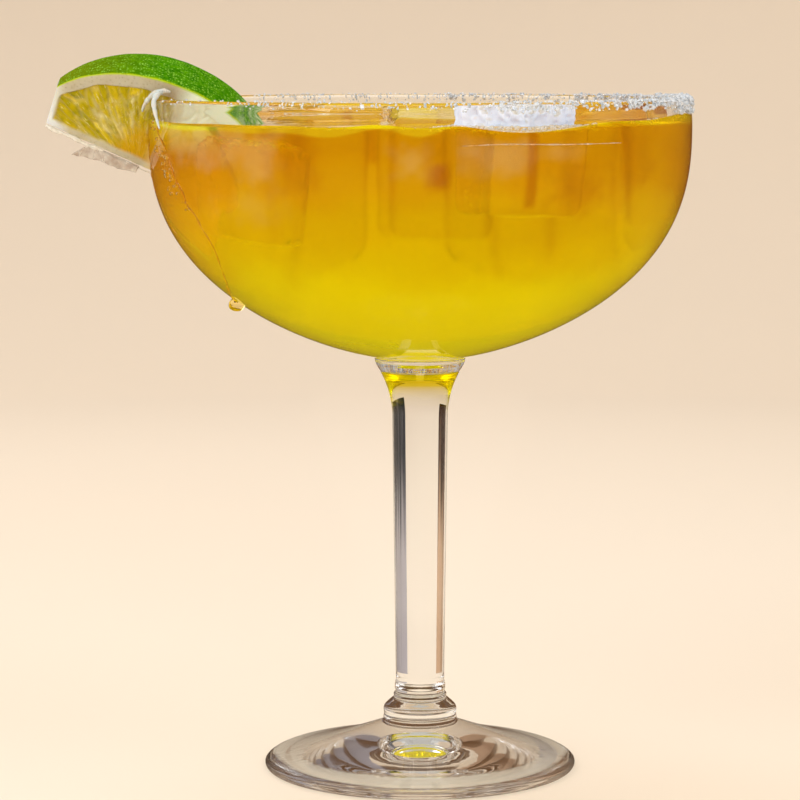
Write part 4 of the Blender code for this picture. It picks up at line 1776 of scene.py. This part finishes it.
    def _close_ends(self, points: Array, faces: list, parts: list, masks: dict,
                    columns: int) -> Tuple:
        """Closes both flat ends with rings that run in to a middle point.

        Args:
            points: the wedge's points in its own frame.
            faces: its faces.
            parts: the finish of each face.
            masks: the masks at each point.
            columns: points in one section.

        Returns:
            The points, faces, parts and masks with the ends added.
        """
        rings = 14
        for last in (False, True):
            start = len(points) - columns if last else 0
            ring = points[start:start + columns]
            rind = masks["rim"][start:start + columns].copy()
            middle = ring.mean(axis=0)
            base = len(points)
            made, rims = [], []
            for i in range(1, rings):
                spots = ring + (middle - ring) * (i / rings)
                off = np.linalg.norm(spots - ring, axis=1)
                spots[:, 0] += 0.18 * soft_noise(spots, 1.8, 3.0) * (-1 if last else 1)
                made.append(spots)
                rims.append(smoothstep(1.2, 0.3, off) * rind)
            points = np.concatenate([points] + made + [middle[None]])
            for key in masks:
                extra = np.concatenate(rims + [[0.0]]) if key == "rim" else np.zeros(
                    columns * (rings - 1) + 1)
                masks[key] = np.concatenate([masks[key], extra])
            links = [[start + a, start + b, base + b, base + a]
                     for a, b in ((c, (c + 1) % columns) for c in range(columns))]
            links += grid_faces(rings - 1, columns, closed=True, start=base)
            tip = len(points) - 1
            inner = base + (rings - 2) * columns
            links += [[inner + c, inner + (c + 1) % columns, tip] for c in range(columns)]
            faces = faces + links
            parts = parts + [int(LimeFace.FLESH)] * len(links)
        return points, faces, parts, masks

    def build_core(self, finish: Material) -> None:
        """Makes the white strip of core along the wedge's lower edge.

        Args:
            finish: pale wet fibre.
        """
        along = np.linspace(-25.2, 25.2, 130)
        path = rows_of(along, 0.15 * np.sin(along * 0.5), -0.55 + 0.12 * np.sin(along * 0.9))
        radii = 0.42 + 0.10 * np.sin(along * 1.3) + 0.06 * np.sin(along * 3.1)
        radii = 0.12 + (radii - 0.12) * smoothstep(-9.0, -14.0, along)
        points, faces = tube(path, radii)
        piece = make_piece("lime_core", self.to_axis(points), faces, finish, tidy=0.001)

    def build_flap(self, finish: Material) -> None:
        """Makes the torn strip of skin that hangs under the core.

        Args:
            finish: thin wet skin.
        """
        upper = curve_through(((-15.2, -0.5), (-11.0, -0.3), (-7.0, -0.2), (-3.0, -0.2)), 60)
        lower = curve_through(((-17.6, -4.1), (-13.8, -3.2), (-10.5, -2.75), (-7.1, -2.6),
                               (-4.6, -2.2), (-3.2, -1.9)), 60)
        share = np.linspace(0.0, 1.0, 12)[:, None, None]
        sheet = upper + (lower - upper) * share
        fray = 0.16 * soft_noise(sheet[..., :1], 0.9, 3.0)
        wave = 0.35 * np.sin(sheet[..., 0] * 0.8) * share[..., 0] + 0.1 * soft_noise(sheet, 1.5, 4.0)
        thick = 0.24 * (1.0 - 0.55 * share[..., 0])
        sides = [rows_of(sheet[..., 0], wave + sign * thick, sheet[..., 1]
                           + fray * share[..., 0]) for sign in (-1, 1)]
        points = np.concatenate([side.reshape(-1, 3) for side in sides])
        rows, columns = sheet.shape[:2]
        faces = grid_faces(rows, columns) + grid_faces(rows, columns, start=rows * columns)
        ring = ([(0, c) for c in range(columns)] + [(r, columns - 1) for r in range(1, rows)]
                + [(rows - 1, c) for c in range(columns - 2, -1, -1)]
                + [(r, 0) for r in range(rows - 2, 0, -1)])
        flat = [r * columns + c for r, c in ring]
        shift = rows * columns
        faces += [[a, b, b + shift, a + shift] for a, b in zip(flat, flat[1:] + flat[:1])]
        piece = make_piece("lime_skin_flap", self.to_axis(points), faces, finish, tidy=0.001)

    def build_strand(self, finish: Material) -> None:
        """Makes the torn pulp that hooks over the rim, with two prongs.

        Args:
            finish: wet pulp.
        """
        upper = ((-53.6, -14.5, 150.6), (-55.0, -15.0, 150.8), (-56.6, -15.3, 150.4),
                 (-58.2, -14.4, 149.2), (-59.4, -12.6, 147.7), (-59.9, -11.6, 146.4))
        lower = ((-55.4, -15.6, 150.5), (-56.3, -17.4, 149.9), (-56.8, -18.9, 148.4),
                 (-56.3, -21.2, 146.2), (-55.6, -23.0, 144.1), (-55.2, -23.8, 142.9))
        prongs = []
        for knots, widths in ((upper, (0.25, 0.5, 0.66, 0.55, 0.42, 0.2)),
                              (lower, (0.4, 0.6, 0.55, 0.42, 0.3, 0.12))):
            path = curve_through(knots, 60)
            width = curve_through(np.array(widths)[:, None], 60)[:, 0]
            width = width * (1.0 + 0.25 * soft_noise(path, 1.0, 7.0))
            prongs.append(tube(path, width, 18))
        piece = make_piece("lime_pulp_strand", *joined(*prongs), finish)


# Spilled drink
@dataclass
class Spill:
    """Drink on the outside of the bowl: two beads that ran down, froth along them, a
    drop at their lower end and a thin pale line on the front.

    Each row of a bead or line holds its height, its bearing and its half width.
    """

    shape: CoupeShape
    outer_bead: Tuple[Point, ...] = (
        (147.6, -74.0, 0.25), (146.8, -72.4, 0.42), (142.6, -69.3, 0.5), (138.5, -65.0, 0.42),
        (134.4, -62.1, 0.52), (128.2, -58.5, 0.4), (123.0, -55.3, 0.45), (117.8, -54.4, 0.4),
        (113.0, -58.0, 0.5), (109.6, -62.5, 0.62), (106.6, -71.0, 0.8), (104.8, -79.0, 1.1),
    )
    inner_bead: Tuple[Point, ...] = (
        (140.5, -78.0, 0.15), (138.0, -81.0, 0.35), (134.5, -79.0, 0.3), (131.5, -81.5, 0.42),
        (127.5, -78.0, 0.3), (123.5, -76.5, 0.34), (119.0, -72.0, 0.3), (115.0, -68.0, 0.15),
    )
    front_line: Tuple[Point, ...] = (
        (140.4, 8.0, 0.08), (140.7, 17.0, 0.17), (140.5, 30.0, 0.14), (140.6, 44.0, 0.08),
    )
    flatness: float = 0.42
    froth_count: int = 70
    rows: int = 190
    sides: int = 16

    def _bead(self, knots: Tuple[Point, ...], seed: float) -> Form:
        """One bead of liquid that clings to the outer wall.

        Args:
            knots: height, bearing and half width along it.
            seed: another seed gives another waviness.

        Returns:
            Its points in mm and its faces.
        """
        rows = curve_through(knots, self.rows)
        height = rows[:, 0]
        bearing = rows[:, 1] + 0.7 * soft_noise(rows[:, :1], 2.4, seed)
        width = rows[:, 2] * (0.62 + 0.55 * soft_noise(rows[:, :2], 1.3, seed + 2))
        place, one = np.arange(self.rows), np.ones(self.rows)
        width *= smoothstep(-0.5, 6.0, place) * smoothstep(self.rows - 0.5, self.rows - 6.0, place)
        width = np.maximum(width, 0.03)
        path = round_axis(bearing, self.shape.radius_at(height), height)
        points, faces = tube(path, one, self.sides)
        spokes = points.reshape(self.rows, self.sides, 3) - path[:, None, :]
        slope = (self.shape.radius_at(height + 0.1) - self.shape.radius_at(height - 0.1)) / 0.2
        out = round_axis(bearing, one, -slope)
        out /= np.linalg.norm(out, axis=1)[:, None]
        high = np.einsum("nij,nj->ni", spokes, out)[..., None] * out[:, None, :]
        spokes = (spokes - high) + high * self.flatness
        return (path[:, None, :] + spokes * width[:, None, None]).reshape(-1, 3), faces

    def build_beads(self, finish: Material) -> None:
        """Makes both beads as one piece.

        Args:
            finish: clear yellow liquid.
        """
        beads = joined(self._bead(self.outer_bead, 1.0), self._bead(self.inner_bead, 5.0))
        piece = make_piece("spill_beads", *beads, finish)

    def build_line(self, finish: Material) -> None:
        """Makes the thin pale line on the front of the bowl."""
        piece = make_piece("pale_front_line", *self._bead(self.front_line, 9.0), finish)

    def build_drop(self, finish: Material) -> None:
        """Makes the drop at the beads' lower end.

        Args:
            finish: clear yellow liquid.
        """
        points, faces = ball(24, 32)
        points = points * (1.75, 1.3, 1.5)
        sag = smoothstep(0.2, -1.4, points[:, 2])
        points[:, :2] *= (1.0 + 0.12 * sag)[:, None]
        centre = round_axis(-80.0, float(self.shape.radius_at(104.6)) + 0.35, 104.2)
        piece = make_piece("spill_drop", points + centre, faces, finish, tidy=0.001)

    def build_froth(self, finish: Material) -> None:
        """Makes the small bubbles along the outer bead.

        Args:
            finish: the bubbles' material.
        """
        draw = np.random.default_rng(17)
        count = self.froth_count
        height = draw.uniform(126.0, 146.0, count)
        bead = np.array(self.outer_bead)[::-1]
        right = np.interp(height, bead[:, 0], bead[:, 1])
        bearing = right - draw.random(count) ** 1.6 * 7.0
        radii = np.clip(draw.lognormal(-1.6, 0.4, count), 0.1, 0.45)
        centres = round_axis(bearing, self.shape.radius_at(height) + 0.5 * radii, height)
        points, faces = small_bubbles(centres, radii)
        piece = make_piece("spill_froth", points, faces, finish)


# The studio
DAYLIGHT = (0.92, 0.97, 1.0, 1.0)
DARK_WOOD = srgb(82, 56, 38)
TURN_STEPS = 96


@dataclass(frozen=True)
class Softbox:
    """A soft lamp, of which places and sizes are in metres about the glass's axis."""

    name: str
    place: Point
    aim: Point
    width: float
    height: float
    power: float
    colour: Colour = (1.0, 1.0, 1.0, 1.0)
    mirrored: bool = True


@dataclass(frozen=True)
class Card:
    """A curved card that shows only in reflections, or only through the glass.

    Bearings are in degrees and lengths in mm about the glass's axis.
    """

    name: str
    start: float
    stop: float
    radii: Tuple[float, float]
    heights: Tuple[float, float]
    colour: Colour
    low_colour: Colour
    seen_through: bool

    def build(self) -> None:
        """Bends the card round the glass, streaked and shading off towards the floor."""
        bearing = np.linspace(self.start, self.stop, TURN_STEPS)
        rows = [round_axis(bearing, *edge) for edge in zip(self.radii, self.heights)]
        mesh = bpy.data.meshes.new(self.name)
        mesh.from_pydata(to_row(np.concatenate(rows)).tolist(), [], grid_faces(2, TURN_STEPS))
        material, sheet = new_finish(self.name, roughness=0.9, specular_ior_level=0.1)
        streaks = sheet.add("Mapping", {"Vector": sheet.place(), "Scale": (1.0, 1.0, 0.12)})
        noise = sheet.add("TexNoise", {"Vector": streaks.outputs[0], "Scale": 130.0, "Detail": 3.0})
        height = sheet.parts(sheet.place())["Z"]
        share = sheet.math("ADD", sheet.spread(height, 0.030, 0.062),
                           sheet.spread(noise.outputs["Fac"], 0.35, 0.65, -0.3, 0.3))
        sheet.dress("Base Color", sheet.ramp(share, ((0.0, self.low_colour), (1.0, self.colour))))
        mesh.materials.append(material)
        card = bpy.data.objects.new(self.name, mesh)
        bpy.context.scene.collection.objects.link(card)
        card.visible_camera = card.visible_diffuse = card.visible_shadow = False
        card.visible_glossy = not self.seen_through
        card.visible_transmission = self.seen_through


@dataclass
class Studio:
    """Pale sweep, soft lamps and the camera."""

    lamps: Tuple[Softbox, ...] = (
        Softbox("back_box", (-0.2, 0.5, 0.85), (0.0, 0.0, 0.12), 0.8, 0.5, 4.0, mirrored=False),
        Softbox("window_box", (0.20, -0.66, 0.36), (0.0, 0.0, 0.08), 0.08, 0.17, 1.0,
                (0.92, 0.96, 1.0, 1.0), mirrored=False),
        Softbox("left_box", (-0.6, -0.45, 0.5), (0.0, 0.0, 0.11), 0.5, 0.5, 3.4, DAYLIGHT),
        Softbox("right_box", (0.7, -0.35, 0.55), (0.0, 0.0, 0.11), 0.5, 0.5, 2.4, DAYLIGHT),
    )
    cards: Tuple[Card, ...] = (
        Card("front_flag", -176.0, 176.0, (735.0, 735.0), (0.2, 800.0), DARK_WOOD, DARK_WOOD, False),
        Card("floor_flag", -176.0, 176.0, (38.0, 735.0), (0.2, 0.2), DARK_WOOD, DARK_WOOD, False),
        Card("slate_card", 116.0, 160.0, (72.0, 72.0), (4.0, 96.0), srgb(30, 42, 56),
             srgb(176, 174, 184), True),
        Card("brown_card", -152.0, -126.0, (72.0, 72.0), (4.0, 88.0), srgb(46, 14, 6),
             srgb(206, 176, 150), True),
    )
    lens: float = 136.75
    shift: float = -0.025
    eye: Point = (AXIS_X * MM, -0.670, 0.1601)
    pitch: float = 83.38
    bend_start: float = 750.0
    bend_radius: float = 500.0
    wall_top: float = 900.0

    def build_camera(self) -> None:
        """Puts the camera where the photograph was taken."""
        data = bpy.data.cameras.new("camera")
        data.sensor_width = 36.0
        data.lens = self.lens
        data.shift_x = self.shift
        camera = bpy.data.objects.new("camera", data)
        camera.location = self.eye
        camera.rotation_euler = (math.radians(self.pitch), 0.0, 0.0)
        bpy.context.scene.collection.objects.link(camera)
        bpy.context.scene.camera = camera

    def build_lamps(self) -> None:
        """Hangs the soft lamps, unseen by the camera."""
        for box in self.lamps:
            data = bpy.data.lights.new(box.name, "AREA")
            data.shape = "RECTANGLE"
            data.size, data.size_y = box.width, box.height
            data.energy = box.power
            data.color = box.colour[:3]
            lamp = bpy.data.objects.new(box.name, data)
            lamp.location = Vector(box.place) + Vector((AXIS_X * MM, 0.0, 0.0))
            way = Vector(box.aim) - Vector(box.place)
            lamp.rotation_euler = way.to_track_quat("-Z", "Y").to_euler()
            lamp.visible_camera = False
            lamp.visible_glossy = lamp.visible_transmission = box.mirrored
            bpy.context.scene.collection.objects.link(lamp)

    def build_world(self) -> None:
        """Fills the room with soft light from above."""
        world = bpy.data.worlds.new("soft_room")
        world.use_nodes = True
        sheet = NodeSheet(world.node_tree)
        ground = world.node_tree.nodes["Background"]
        up = sheet.parts(sheet.add("TexCoord").outputs["Generated"])["Z"]
        sky = sheet.ramp(sheet.spread(up, -0.2, 1.0), (
            (0.0, srgb(206, 188, 168)), (0.35, srgb(232, 220, 206)), (1.0, srgb(250, 247, 243))))
        sheet.feed(ground, "Color", sky)
        sheet.feed(ground, "Strength", 0.6)
        bpy.context.scene.world = world

    def build_sweep(self, finish: Material) -> None:
        """Lays the pale floor, which rises into a wall far away.

        Args:
            finish: matt paper.
        """
        turn = np.linspace(0.0, math.pi / 2, 24)
        flat = [(150.0, 0.0), (400.0, 0.0)]
        bend = [(self.bend_start + self.bend_radius * math.sin(a),
                 self.bend_radius * (1.0 - math.cos(a))) for a in turn]
        section = flat + bend + [(self.bend_start + self.bend_radius, self.wall_top)]
        bearing = np.linspace(0.0, 360.0, TURN_STEPS, endpoint=False)
        rings = [round_axis(bearing, radius, height - 0.05) for radius, height in section]
        points = np.concatenate(rings + [[(0.0, 0.0, -0.05)]])
        faces = [face[::-1] for face in grid_faces(len(rings), TURN_STEPS, closed=True)]
        faces += [[len(points) - 1, i, (i + 1) % TURN_STEPS] for i in range(TURN_STEPS)]
        mesh = bpy.data.meshes.new("sweep")
        mesh.from_pydata(to_row(points).tolist(), [], faces)
        mesh.materials.append(finish)
        mesh.polygons.foreach_set("use_smooth", [True] * len(mesh.polygons))
        sweep = bpy.data.objects.new("sweep", mesh)
        bpy.context.scene.collection.objects.link(sweep)

    def build(self, effects: Effects) -> None:
        """Builds the whole studio.

        Args:
            effects: shared node groups.
        """
        self.build_camera()
        self.build_lamps()
        self.build_world()
        for card in self.cards:
            card.build()
        self.build_sweep(PaperFinish(srgb(240, 226, 208)).build(effects))
        scene = bpy.context.scene
        scene.view_settings.view_transform = "Standard"
        scene.cycles.max_bounces = 24
        scene.cycles.glossy_bounces = 24
        scene.cycles.transmission_bounces = 24
        scene.cycles.transparent_max_bounces = 32
        scene.cycles.caustics_refractive = False
        scene.cycles.caustics_reflective = False


def save_sizes() -> None:
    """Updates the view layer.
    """
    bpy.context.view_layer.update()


def main() -> None:
    """Builds every piece in order."""
    logging.basicConfig(level=logging.INFO, format="%(message)s")
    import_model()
    effects = Effects()
    shape = CoupeShape()

    CoupeGlass(shape).build(ClearGlassFinish().build(effects))
    LOG.info("glass turned")
    SaltRim(shape).build(SALT.build(effects))
    LOG.info("salt scattered")

    # Painted shade along the edges of ice under the drink.
    painted_edge_shade = srgb(196, 128, 10)
    sunk = IceFinish("ice_sunk", 1.03, srgb(246, 240, 224), 0.02, painted_edge_shade).build(effects)
    cloudy = IceFinish("ice_cloudy", 1.03, srgb(252, 242, 214), 0.1, painted_edge_shade, 0.9,
                       edge_share=0.2).build(effects)
    dry = IceFinish("ice_above", 1.12, srgb(250, 230, 160), 0.05, srgb(236, 206, 130),
                    0.94).build(effects)
    # Frosted, chipped ice above the drink: its bluish white and its glow are a painted glare.
    frosted_glare = IceFinish("ice_frosted_glare", 1.31, srgb(196, 214, 238), 0.25, srgb(216, 232, 252), 0.15,
                       0.34).build(effects)
    coated = IceFinish("ice_coated", 1.12, srgb(255, 218, 50), 0.08, srgb(244, 190, 20),
                       0.9).build(effects)
    cubes = Ice().build({IceLook.CLEAR: (sunk, dry), IceLook.FROSTED: (cloudy, frosted_glare),
                         IceLook.COATED: (sunk, coated)})
    drink = Drink(shape, CUBES)
    drink.build(DrinkFinish().build(effects), cubes)
    LOG.info("drink poured")
    Bubbles(shape, drink).build(FROTH.build(effects))

    lime = LimeWedge()
    lime.build(RindFinish().build(effects), FleshFinish().build(effects))
    lime.build_core(WetSkinFinish("lime_fibre", srgb(214, 210, 194), 0.05).build(effects))
    lime.build_flap(WetSkinFinish("lime_skin", srgb(214, 196, 180), 0.5).build(effects))
    lime.build_strand(WetSkinFinish("lime_pulp", srgb(226, 246, 250), 0.3).build(effects))
    LOG.info("lime dressed")

    run = Spill(shape)
    spill = SPILL.build(effects)
    run.build_beads(spill)
    run.build_line(WetSkinFinish("pale_line_finish", srgb(240, 196, 130), 0.6).build(effects))
    run.build_drop(spill)
    run.build_froth(spill)
    LOG.info("spilled drink added")

    Studio().build(effects)
    save_sizes()


if __name__ == "__main__":
    main()
